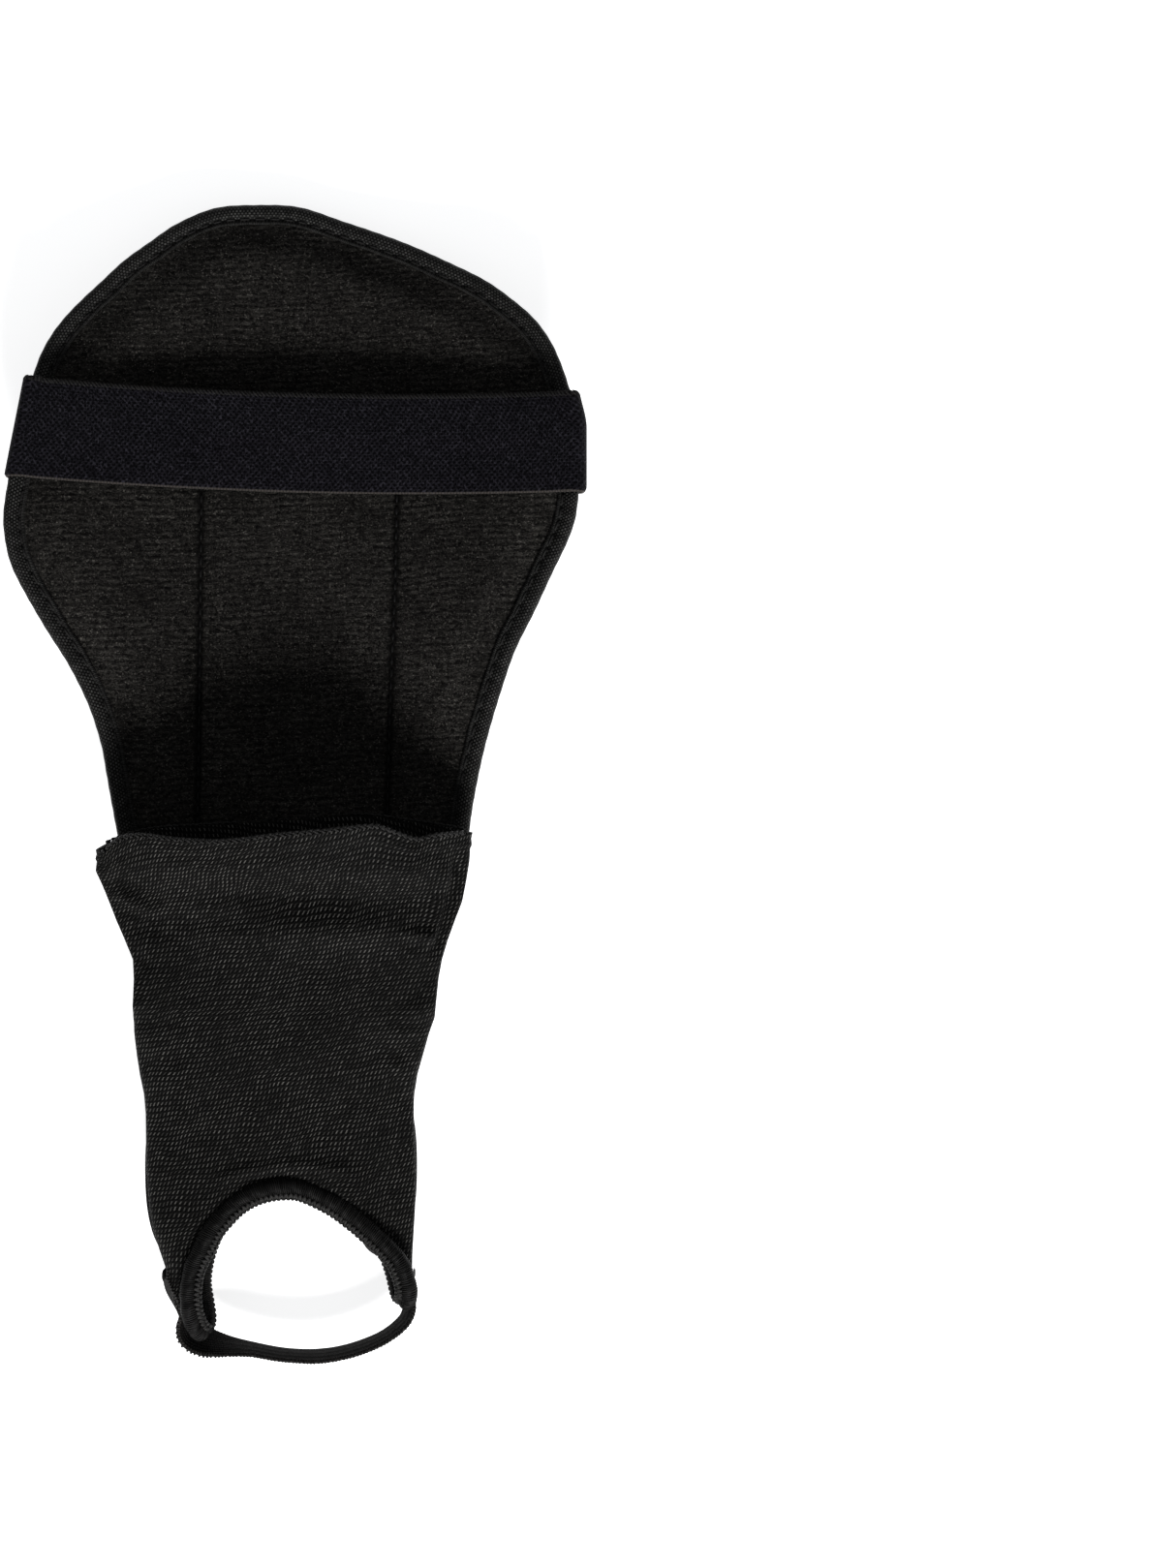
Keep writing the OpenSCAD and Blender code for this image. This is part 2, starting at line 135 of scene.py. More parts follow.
def grid_shell(name, X, Y, keep, top, bottom, mats, mat_ids=(0, 1, 2), **kw):
    """The skin of a plate given by heights over a square grid, where keep says which cells are in it."""
    a, b = X.shape
    idx = np.arange(a * b).reshape(a, b)
    T = np.stack([X, Y, top], -1).reshape(-1, 3)
    B = np.stack([X, Y, bottom], -1).reshape(-1, 3)
    n = a * b
    q = np.stack([idx[:-1, :-1], idx[:-1, 1:], idx[1:, 1:], idx[1:, :-1]], -1)
    cells = q[keep]
    faces = [cells, cells[:, ::-1] + n]
    ids = [np.full(len(cells), mat_ids[0]), np.full(len(cells), mat_ids[1])]
    pad = np.pad(keep, 1)
    for (di, dj), (c0, c1) in {(-1, 0): (0, 1), (0, 1): (1, 2), (1, 0): (2, 3), (0, -1): (3, 0)}.items():
        edge = keep & ~pad[1 + di : a + di, 1 + dj : b + dj]
        e = q[edge]
        w = np.stack([e[:, c1], e[:, c0], e[:, c0] + n, e[:, c1] + n], -1)
        faces.append(w)
        ids.append(np.full(len(w), mat_ids[2]))
    faces = np.concatenate(faces)
    V = np.concatenate([T, B])
    used = np.unique(faces)
    new = np.full(len(V), -1)
    new[used] = np.arange(len(used))
    V, faces = V[used], new[faces]
    return raw_object(name, V, faces, V[faces.ravel()][:, :2], mats, np.concatenate(ids), **kw)


def unit(v):
    return v / np.maximum(np.linalg.norm(v, axis=-1, keepdims=True), 1e-12)


def catmull(P, per=8, closed=False):
    P = np.asarray(P, float)
    n = len(P)
    out = []
    for i in range(n if closed else n - 1):
        if closed:
            a, b, c, d = (P[(i + k) % n] for k in (-1, 0, 1, 2))
        else:
            a, b, c, d = P[max(i - 1, 0)], P[i], P[i + 1], P[min(i + 2, n - 1)]
        for u in np.arange(per) / per:
            out.append(0.5 * (2 * b + (c - a) * u + (2 * a - 5 * b + 4 * c - d) * u**2 + (3 * b - a - 3 * c + d) * u**3))
    if not closed:
        out.append(P[-1])
    return np.array(out)


def respace(P, n, closed=False):
    """n points at equal steps along a line, and the line's length."""
    Q = np.vstack([P, P[:1]]) if closed else P
    s = np.concatenate([[0], np.cumsum(np.linalg.norm(np.diff(Q, axis=0), axis=1))])
    t = np.linspace(0, s[-1], n, endpoint=not closed)
    return np.stack([np.interp(t, s, Q[:, k]) for k in range(Q.shape[1])], -1), s[-1]


def smooth(a, b, x):
    t = np.clip((np.asarray(x, float) - a) / (b - a), 0, 1)
    return t * t * (3 - 2 * t)


def curve_of(pts, x, sigma=0):
    """A smooth line through (x, value) points."""
    pts = np.array(sorted(pts), float)
    f = catmull(pts, 16)
    return np.interp(x, f[:, 0], f[:, 1])


def tangents(P, closed=False):
    if closed:
        return unit(np.roll(P, -1, 0) - np.roll(P, 1, 0))
    return unit(np.gradient(P, axis=0))


def tube(P, r, sides=8, closed=False, up=(0, 0, 1), twist=0.0, uv_v=None):
    """Rings round a line. r is a number or one for each ring and side. Returns the grid and its coordinates."""
    T = tangents(P, closed)
    up = np.asarray(up, float)
    up = np.broadcast_to(up, P.shape)
    side = unit(np.cross(T, up))
    nor = unit(np.cross(side, T))
    a = np.arange(sides + 1) / sides * 2 * math.pi
    ca, sa = np.cos(a)[None, :, None], np.sin(a)[None, :, None]
    r = np.asarray(r, float)
    if r.ndim == 0:
        r = np.full((len(P), sides + 1), float(r))
    elif r.ndim == 1:
        r = np.repeat(r[:, None], sides + 1, 1)
    G = P[:, None] + r[..., None] * (ca * side[:, None] + sa * nor[:, None])
    G[:, -1] = G[:, 0]
    step = np.linalg.norm(np.diff(np.vstack([P, P[:1]]) if closed else P, axis=0), axis=1)
    s = np.concatenate([[0], np.cumsum(step)])
    if closed:
        G = np.vstack([G, G[:1]])
    else:
        s = s[: len(P)]
    UV = np.stack(np.broadcast_arrays(s[:, None], (a * np.mean(r))[None, :]), -1)
    return G, UV


def capsules(name, A, B, r, mat, body, sides=6, arch=0.0, up=(0, 0, 1), rings=5, flat=1.0):
    """Many short threads at once, each from A to B, with round ends, bowed up by arch."""
    A, B = np.asarray(A, float), np.asarray(B, float)
    K = len(A)
    up = unit(np.broadcast_to(np.asarray(up, float), A.shape))
    T = unit(B - A)
    side = unit(np.cross(T, up))
    nor = unit(np.cross(side, T))
    t = np.linspace(0, 1, rings)
    rad = r * np.sqrt(np.clip(1 - (2 * t - 1) ** 4, 0, 1))
    rad[0] = rad[-1] = r * 0.25
    a = np.arange(sides + 1) / sides * 2 * math.pi
    C = A[:, None] + (B - A)[:, None] * t[None, :, None] + nor[:, None] * (arch * 4 * t * (1 - t))[None, :, None]
    G = C[:, :, None] + rad[None, :, None, None] * (np.cos(a)[None, None, :, None] * side[:, None, None] + flat * np.sin(a)[None, None, :, None] * nor[:, None, None])
    G[:, :, -1] = G[:, :, 0]
    idx = np.arange(K * rings * sides).reshape(K, rings, sides)
    V = [G[:, :, :-1].reshape(-1, 3)]
    nx = np.roll(idx, -1, 2)
    q = np.stack([idx[:, :-1], nx[:, :-1], nx[:, 1:], idx[:, 1:]], -1).reshape(-1, 4)
    base = K * rings * sides
    caps = []
    for k, end in ((0, A), (rings - 1, B)):
        V.append(C[:, k])
        c = base + np.arange(K)
        base += K
        c = np.repeat(c[:, None], sides, 1)
        ring, nxt = idx[:, k], np.roll(idx[:, k], -1, 1)
        tri = np.stack([c, nxt, ring] if k == 0 else [c, ring, nxt], -1).reshape(-1, 3)
        caps.append(tri)
    V = np.concatenate(V)
    me = bpy.data.meshes.new(name)
    tris = np.concatenate(caps)
    loops = np.concatenate([q.ravel(), tris.ravel()])
    starts = np.concatenate([np.arange(len(q)) * 4, len(q) * 4 + np.arange(len(tris)) * 3])
    me.vertices.add(len(V))
    me.vertices.foreach_set("co", (V * MM).ravel())
    me.loops.add(len(loops))
    me.loops.foreach_set("vertex_index", loops.astype(np.int32))
    me.polygons.add(len(starts))
    me.polygons.foreach_set("loop_start", starts.astype(np.int32))
    me.polygons.foreach_set("use_smooth", np.full(len(starts), True))
    layer = me.uv_layers.new(name="UVMap")
    layer.data.foreach_set("uv", (V[loops][:, :2] / 100).ravel())
    me.update(calc_edges=True)
    me.materials.append(mat)
    o = bpy.data.objects.new(name, me)
    bpy.context.scene.collection.objects.link(o)
    bm = bmesh.new()
    bm.from_mesh(me)
    bmesh.ops.recalc_face_normals(bm, faces=bm.faces)
    bm.to_mesh(me)
    bm.free()
    if body:
        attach(o, body)
    return o


# ------------------------------------------------------------------ materials
class Mat:
    """A small writer of node materials."""

    def __init__(self, name, rough=0.8, spec=0.2, sheen=0.0, sheen_rough=0.5):
        self.m = bpy.data.materials.new(name)
        self.m.use_nodes = True
        self.t = self.m.node_tree
        self.t.nodes.clear()
        self.out = self.t.nodes.new("ShaderNodeOutputMaterial")
        self.b = self.t.nodes.new("ShaderNodeBsdfPrincipled")
        self.t.links.new(self.b.outputs[0], self.out.inputs[0])
        self.b.inputs["Roughness"].default_value = rough
        self.b.inputs["Specular IOR Level"].default_value = spec
        self.b.inputs["Sheen Weight"].default_value = sheen
        self.b.inputs["Sheen Roughness"].default_value = sheen_rough

    def put(self, sock, v):
        if isinstance(v, bpy.types.NodeSocket):
            self.t.links.new(v, sock)
        else:
            sock.default_value = v

    def math(self, op, a, b=0.0, c=None, clamp=False):
        n = self.t.nodes.new("ShaderNodeMath")
        n.operation = op
        n.use_clamp = clamp
        self.put(n.inputs[0], a)
        self.put(n.inputs[1], b)
        if c is not None:
            self.put(n.inputs[2], c)
        return n.outputs[0]

    def add(self, a, b):
        return self.math("ADD", a, b)

    def sub(self, a, b):
        return self.math("SUBTRACT", a, b)

    def mul(self, a, b):
        return self.math("MULTIPLY", a, b)

    def uv(self):
        """Cloth coordinates u and v, in mm."""
        n = self.t.nodes.new("ShaderNodeUVMap")
        n.uv_map = "UVMap"
        s = self.t.nodes.new("ShaderNodeSeparateXYZ")
        self.t.links.new(n.outputs[0], s.inputs[0])
        self.uvv = self.vec(self.mul(s.outputs[0], 100.0), self.mul(s.outputs[1], 100.0), 0.0)
        return self.mul(s.outputs[0], 100.0), self.mul(s.outputs[1], 100.0)

    def place(self):
        """Place on the object, in mm."""
        n = self.t.nodes.new("ShaderNodeTexCoord")
        s = self.t.nodes.new("ShaderNodeVectorMath")
        s.operation = "SCALE"
        self.t.links.new(n.outputs["Object"], s.inputs[0])
        s.inputs["Scale"].default_value = 1000.0
        return s.outputs[0]

    def vec(self, x, y, z=0.0):
        n = self.t.nodes.new("ShaderNodeCombineXYZ")
        for k, v in enumerate((x, y, z)):
            self.put(n.inputs[k], v)
        return n.outputs[0]

    def noise(self, vec, scale, detail=2.0, rough=0.5, dist=0.0):
        n = self.t.nodes.new("ShaderNodeTexNoise")
        self.put(n.inputs["Vector"], vec)
        n.inputs["Scale"].default_value = scale
        n.inputs["Detail"].default_value = detail
        n.inputs["Roughness"].default_value = rough
        n.inputs["Distortion"].default_value = dist
        return n.outputs["Fac"]

    def white(self, vec):
        n = self.t.nodes.new("ShaderNodeTexWhiteNoise")
        n.noise_dimensions = "3D"
        self.put(n.inputs["Vector"], vec)
        return n.outputs["Value"]

    def frac(self, a):
        return self.math("FRACT", a)

    def floor(self, a):
        return self.math("FLOOR", a)

    def absd(self, a, b):
        """|a - b|"""
        return self.math("ABSOLUTE", self.sub(a, b))

    def ramp(self, x, a, b):
        """0 at a, 1 at b, smooth between. a may be above b."""
        n = self.t.nodes.new("ShaderNodeMapRange")
        n.interpolation_type = "SMOOTHSTEP"
        if a > b:
            n.inputs["From Min"].default_value, n.inputs["From Max"].default_value = b, a
            n.inputs["To Min"].default_value, n.inputs["To Max"].default_value = 1.0, 0.0
        else:
            n.inputs["From Min"].default_value, n.inputs["From Max"].default_value = a, b
            n.inputs["To Min"].default_value, n.inputs["To Max"].default_value = 0.0, 1.0
        self.put(n.inputs["Value"], x)
        return n.outputs[0]

    def mix(self, f, a, b):
        n = self.t.nodes.new("ShaderNodeMix")
        n.data_type = "RGBA"
        self.put(n.inputs[0], f)
        for sock, v in ((n.inputs[6], a), (n.inputs[7], b)):
            if isinstance(v, bpy.types.NodeSocket):
                self.t.links.new(v, sock)
            else:
                sock.default_value = (*v, 1.0) if len(v) == 3 else v
        return n.outputs[2]

    def finish(self, colour=None, height=None, rough=None, dist=0.3, strength=1.0):
        if colour is not None:
            self.put(self.b.inputs["Base Color"], colour if isinstance(colour, bpy.types.NodeSocket) else (*colour, 1.0))
        if rough is not None:
            self.put(self.b.inputs["Roughness"], rough)
        if height is not None:
            n = self.t.nodes.new("ShaderNodeBump")
            n.inputs["Strength"].default_value = strength
            n.inputs["Distance"].default_value = dist * MM
            self.put(n.inputs["Height"], height)
            self.t.links.new(n.outputs[0], self.b.inputs["Normal"])
        return self.m


def grey(v, warm=0.0):
    return (v * (1 + warm), v, v * (1 - warm))


def mat_knit(name="sleeve_knit_mat", pu=1.12, pv=1.30):
    """Elastic knit: a grey ground, with short slanted floats in close rows whose pale colour is a painted highlight,
    and beside each a dark eyelet that is painted shade.
    """
    m = Mat(name, rough=0.6, spec=0.04)
    u, v = m.uv()
    wob = m.noise(m.uvv, 0.07, 2.0)
    wob2 = m.noise(m.uvv, 0.16, 2.0)
    u2 = m.add(u, m.mul(m.sub(wob, 0.5), 2.6))
    v2 = m.add(m.add(v, m.mul(u, 0.12)), m.add(m.mul(m.sub(wob, 0.5), 3.0), m.mul(m.sub(wob2, 0.5), 1.2)))
    row = m.floor(m.mul(v2, 1 / pv))
    cu = m.add(m.mul(u2, 1 / pu), m.mul(row, 0.36))
    col = m.floor(cu)
    a = m.sub(m.frac(cu), 0.5)
    b = m.sub(m.frac(m.mul(v2, 1 / pv)), 0.5)
    rnd = m.white(m.vec(col, row, 3.0))
    rnd2 = m.white(m.vec(col, row, 9.0))
    d = m.math("ABSOLUTE", m.add(m.add(a, 0.10), m.mul(b, 0.72)))
    dash = m.mul(m.ramp(d, 0.23, 0.08), m.ramp(m.math("ABSOLUTE", b), 0.38, 0.20))
    e = m.math("ABSOLUTE", m.add(m.add(a, -0.26), m.mul(b, 0.72)))
    eye = m.mul(m.ramp(e, 0.27, 0.10), m.ramp(m.math("ABSOLUTE", m.add(b, -0.12)), 0.40, 0.20))
    big = m.noise(m.uvv, 0.035, 4.0, 0.62)
    mid = m.noise(m.uvv, 0.32, 2.0, 0.6)
    fuzz = m.noise(m.uvv, 2.3, 3.0, 0.75)
    # painted highlight: how bright each slanted float is painted, standing in for the glint on its yarn
    float_highlight_level = m.mul(m.add(0.15, m.mul(rnd, 0.95)), m.add(0.58, m.mul(m.ramp(big, 0.34, 0.62), m.mul(mid, 0.80))))
    ground = m.mul(m.add(0.008, m.mul(m.ramp(fuzz, 0.36, 0.7), 0.034)), m.add(0.8, m.mul(big, 0.4)))
    # painted shade: the eyelets are darkened in colour as if each hole lay in shade
    eyelet_shade_and_depth = m.mul(eye, m.add(0.55, m.mul(rnd2, 0.42)))
    f = m.mul(ground, m.sub(1.0, eyelet_shade_and_depth))
    f = m.math("ADD", f, m.mul(dash, m.add(0.05, m.mul(float_highlight_level, 1.02))), clamp=True)
    col_ = m.mix(f, (0.0010, 0.0009, 0.0009), (0.083, 0.0805, 0.0745))
    return m.finish(col_, m.sub(m.add(m.mul(dash, 0.8), m.mul(fuzz, 0.35)), m.mul(eyelet_shade_and_depth, 0.8)), m.add(0.66, m.mul(dash, -0.2)), dist=0.34)


def mat_lining():
    """Brushed knit: wiry short fuzz over faint crosswise ridges with painted shade between them, and a few painted
    glints on single fibres.
    """
    m = Mat("brushed_lining_mat", rough=0.85, spec=0.05)
    u, v = m.uv()
    w = m.noise(m.uvv, 0.06, 3.0, 0.6)
    vv = m.add(m.add(v, m.mul(u, -0.05)), m.mul(m.sub(w, 0.5), 3.4))
    wave = m.math("SINE", m.mul(vv, 2 * math.pi / 1.62))
    vary = m.ramp(m.noise(m.uvv, 0.09, 3.0, 0.6), 0.35, 0.65)
    ridge = m.mul(m.ramp(wave, -1.0, 0.6), m.add(0.35, m.mul(vary, 0.65)))
    streak = m.noise(m.vec(m.mul(u, 0.5), m.mul(v, 1.5), 0.0), 0.85, 4.0, 0.75, 1.3)
    wire = m.noise(m.uvv, 1.25, 4.0, 0.8, 1.8)
    big = m.noise(m.uvv, 0.028, 3.0, 0.6)
    # painted highlight: sparse bright specks stand for glints off single fibres
    painted_fibre_glint = m.math("POWER", m.white(m.vec(m.floor(m.mul(u, 2.9)), m.floor(m.mul(v, 3.3)), 1.0)), 14.0)
    f = m.add(m.mul(m.ramp(streak, 0.46, 0.60), 0.21), m.mul(m.ramp(wire, 0.48, 0.59), 0.30))
    # painted shade: the colour is darkened between the crosswise ridges and lightened on their crests
    f = m.mul(f, m.add(0.50, m.mul(ridge, 0.60)))
    f = m.add(f, m.mul(m.mul(painted_fibre_glint, m.ramp(wire, 0.42, 0.55)), 0.75))
    f = m.mul(f, m.add(0.50, m.mul(big, 1.0)))
    # painted shade: the colour is darkened along both channel seams, where the grooves lie in shade
    left = m.math("ABSOLUTE", m.sub(u, m.add(-25.66, m.mul(v, 0.01156))))
    right = m.math("ABSOLUTE", m.sub(u, m.add(23.0, m.mul(v, 0.0317))))
    seam_groove_shade = m.mul(m.math("MAXIMUM", m.ramp(left, 1.4, 0.45), m.ramp(right, 1.4, 0.45)), m.ramp(v, 97.0, 90.0))
    f = m.math("MULTIPLY", f, m.sub(1.0, m.mul(seam_groove_shade, 0.80)), clamp=True)
    col = m.mix(f, (0.0012, 0.0011, 0.0010), (0.0800, 0.0750, 0.0680))
    h = m.add(m.mul(ridge, 0.35), m.add(m.mul(streak, 0.8), m.mul(wire, 0.7)))
    return m.finish(col, h, 0.9, dist=0.34)


def mat_tape(name="nylon_tape_mat", inner=5.3):
    """Woven binding tape: staggered pale dots on a dark ground, and a ladder of short bars along its selvedge."""
    m = Mat(name, rough=0.55, spec=0.05)
    u, v = m.uv()
    pu, pv = 0.95, 0.66
    row = m.floor(m.mul(v, 1 / pv))
    cu = m.add(m.mul(u, 1 / pu), m.mul(m.frac(m.mul(row, 0.5)), 1.0))
    a = m.math("ABSOLUTE", m.sub(m.frac(cu), 0.5))
    b = m.math("ABSOLUTE", m.sub(m.frac(m.mul(v, 1 / pv)), 0.5))
    dot = m.mul(m.ramp(a, 0.42, 0.14), m.ramp(b, 0.48, 0.18))
    rnd = m.white(m.vec(m.floor(cu), row, 2.0))
    big = m.noise(m.uvv, 0.10, 3.0, 0.6)
    field = m.mul(dot, m.mul(m.add(0.3, m.mul(rnd, 0.55)), m.add(0.35, m.mul(big, 1.1))))
    zone = m.ramp(m.absd(v, inner - 0.72), 0.80, 0.52)
    bars = m.ramp(m.math("ABSOLUTE", m.sub(m.frac(m.add(m.mul(u, 1 / 0.46), m.mul(v, 0.35))), 0.5)), 0.46, 0.16)
    rb = m.white(m.vec(m.floor(m.mul(u, 1 / 0.46)), 1.0, 2.0))
    selv = m.mul(bars, m.mul(m.add(0.16, m.mul(rb, 0.32)), m.add(0.5, m.mul(big, 0.8))))
    gap = m.ramp(m.absd(v, inner - 1.72), 0.5, 0.2)
    f = m.mul(m.add(m.mul(field, m.sub(1.0, zone)), m.mul(selv, zone)), m.sub(1.0, m.mul(gap, 0.6)))
    f = m.math("ADD", f, m.mul(m.noise(m.uvv, 2.2, 2.0), 0.04), clamp=True)
    col = m.mix(f, (0.0011, 0.0011, 0.0010), (0.068, 0.067, 0.0635))
    return m.finish(col, m.add(m.mul(dot, 0.6), m.mul(m.mul(zone, bars), 0.5)), None, dist=0.24)


def mat_elastic(name="elastic_mat", width=25.2, dark=(0.0007, 0.0006, 0.0010), light=(0.0240, 0.0225, 0.0285)):
    """Knitted elastic: wavy threads round a diagonal lattice of pinholes painted dark as shade, with a corded upper
    edge and a pale lower edge.
    """
    m = Mat(name, rough=0.7, spec=0.03)
    u, v = m.uv()
    wob = m.mul(m.sub(m.noise(m.uvv, 0.7, 2.0), 0.5), 0.55)
    p = m.math("SINE", m.mul(m.add(m.add(u, m.mul(v, 0.9)), wob), 2 * math.pi / 1.45))
    q = m.math("SINE", m.mul(m.add(m.sub(u, m.mul(v, 0.9)), wob), 2 * math.pi / 1.45))
    holes = m.ramp(m.mul(m.add(p, q), 0.5), 0.05, 0.60)
    wire = m.noise(m.uvv, 1.5, 4.0, 0.8, 1.6)
    thread = m.ramp(wire, 0.44, 0.60)
    rnd = m.white(m.vec(m.floor(m.mul(u, 2.0)), m.floor(m.mul(v, 2.0)), 5.0))
    big = m.noise(m.uvv, 0.06, 3.0, 0.6)
    # painted shade: the colour is darkened in the pinholes
    f = m.mul(m.add(m.mul(thread, 0.62), m.mul(m.math("POWER", rnd, 7.0), 0.7)), m.sub(1.0, m.mul(holes, 0.94)))
    f = m.mul(m.add(f, 0.03), m.add(0.55, m.mul(big, 0.8)))
    col = m.mix(m.math("ADD", f, 0.0, clamp=True), dark, light)
    low = m.ramp(v, 0.62, 0.3)
    dash = m.ramp(m.math("ABSOLUTE", m.sub(m.frac(m.mul(u, 1 / 0.8)), 0.5)), 0.5, 0.15)
    col = m.mix(m.mul(low, m.add(0.3, m.mul(dash, 0.45))), col, (0.050, 0.044, 0.039))
    top = m.ramp(v, width - 1.0, width - 0.7)
    slant = m.ramp(m.math("ABSOLUTE", m.sub(m.frac(m.add(m.mul(u, 1 / 1.0), m.mul(v, 0.45))), 0.5)), 0.45, 0.12)
    col = m.mix(m.mul(top, m.mul(slant, 0.55)), col, (0.026, 0.022, 0.020))
    return m.finish(col, m.sub(m.mul(wire, 0.8), m.mul(holes, 0.6)), None, dist=0.26)


def mat_rim():
    """Overlock thread wound close together round the rolled edge, each turn painted lighter as a highlight and the
    gaps between turns painted darker as shade.
    """
    m = Mat("rim_thread_mat", rough=0.55, spec=0.06)
    u, v = m.uv()
    ww = m.add(m.add(u, m.mul(v, 0.12)), m.mul(m.sub(m.noise(m.uvv, 0.5, 2.0), 0.5), 0.5))
    s = m.math("ABSOLUTE", m.sub(m.frac(m.mul(ww, 1 / 0.5)), 0.5))
    thread = m.ramp(s, 0.5, 0.12)
    rnd = m.white(m.vec(m.floor(m.mul(ww, 2.0)), 0.0, 4.0))
    big = m.noise(m.uvv, 0.25, 3.0, 0.6)
    # painted highlight and shade: each wound turn is lighter along its crown and darker where it meets the next
    f = m.math("MULTIPLY", m.mul(thread, m.add(0.3, m.mul(rnd, 0.6))), m.add(0.4, m.mul(big, 0.9)), clamp=True)
    return m.finish(m.mix(f, (0.0010, 0.0009, 0.0009), (0.0135, 0.0130, 0.0125)), thread, None, dist=0.2)


def mat_thread(name, lo, hi, rough=0.5, spec=0.12):
    """Twisted sewing thread."""
    m = Mat(name, rough=rough, spec=spec)
    p = m.place()
    n = m.noise(p, 1.4, 3.0, 0.7)
    w = m.noise(p, 5.0, 2.0, 0.7)
    f = m.math("ADD", m.mul(m.ramp(n, 0.3, 0.72), 0.7), m.mul(m.sub(w, 0.5), 0.6), clamp=True)
    return m.finish(m.mix(f, grey(lo, 0.03), grey(hi, 0.04)), w, None, dist=0.15)


def mat_ribbed(name="foot_elastic_mat", width=10.0):
    """Narrow elastic with fine ribs along it and dotted edges."""
    m = Mat(name, rough=0.7, spec=0.05)
    u, v = m.uv()
    rib = m.ramp(m.math("SINE", m.mul(v, 2 * math.pi / 0.83)), -0.8, 0.9)
    cross = m.ramp(m.math("ABSOLUTE", m.sub(m.frac(m.add(m.mul(u, 1 / 0.62), m.mul(m.frac(m.mul(m.floor(m.mul(v, 1 / 0.83)), 0.5)), 1.0))), 0.5)), 0.46, 0.16)
    rnd = m.white(m.vec(m.floor(m.mul(u, 1.6)), m.floor(m.mul(v, 1.2)), 6.0))
    edge = m.math("MAXIMUM", m.ramp(v, 0.9, 0.5), m.ramp(v, width - 0.9, width - 0.5))
    f = m.mul(m.mul(rib, cross), m.add(0.2, m.mul(rnd, 0.4)))
    f = m.math("ADD", m.mul(f, 0.6), m.mul(m.mul(edge, cross), m.add(0.35, m.mul(rnd, 0.6))), clamp=True)
    f = m.math("ADD", f, m.mul(m.noise(m.uvv, 0.9, 3.0, 0.7), 0.10), clamp=True)
    return m.finish(m.mix(f, (0.0020, 0.0019, 0.0018), (0.030, 0.028, 0.026)), m.add(m.mul(rib, 0.6), m.mul(cross, 0.4)), None, dist=0.22)


def mat_plastic():
    """Moulded polypropylene: satin black with a fine spark-eroded grain, scuffed where it stands proud."""
    m = Mat("hard_plastic_mat", rough=0.42, spec=0.45)
    p = m.place()
    grain = m.noise(p, 2.6, 4.0, 0.75)
    scuff = m.noise(p, 0.12, 5.0, 0.7, 0.6)
    fine = m.noise(p, 0.9, 4.0, 0.7)
    wear = m.mul(m.ramp(scuff, 0.52, 0.72), m.ramp(fine, 0.45, 0.7))
    geo = m.t.nodes.new("ShaderNodeNewGeometry")
    edge = m.ramp(geo.outputs["Pointiness"], 0.51, 0.56)
    f = m.math("ADD", m.mul(wear, 0.35), m.mul(edge, 0.45), clamp=True)
    col = m.mix(f, (0.0105, 0.0105, 0.0115), (0.055, 0.055, 0.057))
    return m.finish(col, m.add(m.mul(grain, 0.9), m.mul(fine, 0.2)), m.add(0.38, m.add(m.mul(wear, 0.25), m.mul(grain, 0.12))), dist=0.12, strength=0.8)


def mat_cloth(name, dark, light, pitch=0.9):
    """Fine warp knit: narrow lengthwise ribs crossed by short floats."""
    m = Mat(name, rough=0.8, spec=0.08)
    u, v = m.uv()
    a = m.math("ABSOLUTE", m.sub(m.frac(m.mul(u, 1 / pitch)), 0.5))
    row = m.floor(m.mul(v, 1 / (pitch * 0.7)))
    b = m.math("ABSOLUTE", m.sub(m.frac(m.mul(v, 1 / (pitch * 0.7))), 0.5))
    loop = m.mul(m.ramp(a, 0.48, 0.15), m.ramp(b, 0.5, 0.15))
    rnd = m.white(m.vec(m.floor(m.mul(u, 1 / pitch)), row, 8.0))
    big = m.noise(m.uvv, 0.05, 4.0, 0.6)
    fine = m.noise(m.uvv, 2.5, 3.0, 0.7)
    f = m.mul(m.add(m.mul(loop, m.add(0.25, m.mul(rnd, 0.4))), m.mul(fine, 0.25)), m.add(0.55, m.mul(big, 0.8)))
    return m.finish(m.mix(m.math("ADD", f, 0.0, clamp=True), grey(dark, 0.03), grey(light, 0.03)), m.add(loop, m.mul(fine, 0.5)), None, dist=0.2)


def mat_pile(name, lo, hi, scale=2.2, rough=0.9, spec=0.1, dist=0.5):
    """Hook or loop tape: a field of small tufts."""
    m = Mat(name, rough=rough, spec=spec)
    p = m.place()
    vor = m.t.nodes.new("ShaderNodeTexVoronoi")
    m.put(vor.inputs["Vector"], p)
    vor.inputs["Scale"].default_value = scale
    d = m.ramp(vor.outputs["Distance"], 0.62, 0.05)
    n = m.noise(p, 3.5, 3.0, 0.7)
    f = m.math("MULTIPLY", d, m.add(0.35, m.mul(n, 0.9)), clamp=True)
    return m.finish(m.mix(f, grey(lo), grey(hi)), m.add(d, m.mul(n, 0.4)), None, dist=dist)


def mat_foam():
    """Closed-cell foam with a fine open skin."""
    m = Mat("eva_foam_mat", rough=0.85, spec=0.15)
    p = m.place()
    vor = m.t.nodes.new("ShaderNodeTexVoronoi")
    m.put(vor.inputs["Vector"], p)
    vor.inputs["Scale"].default_value = 2.4
    d = m.ramp(vor.outputs["Distance"], 0.05, 0.6)
    n = m.noise(p, 0.3, 4.0, 0.6)
    return m.finish(m.mix(m.mul(d, m.add(0.4, m.mul(n, 0.6))), (0.010, 0.010, 0.0105), (0.030, 0.030, 0.031)), d, None, dist=0.2)


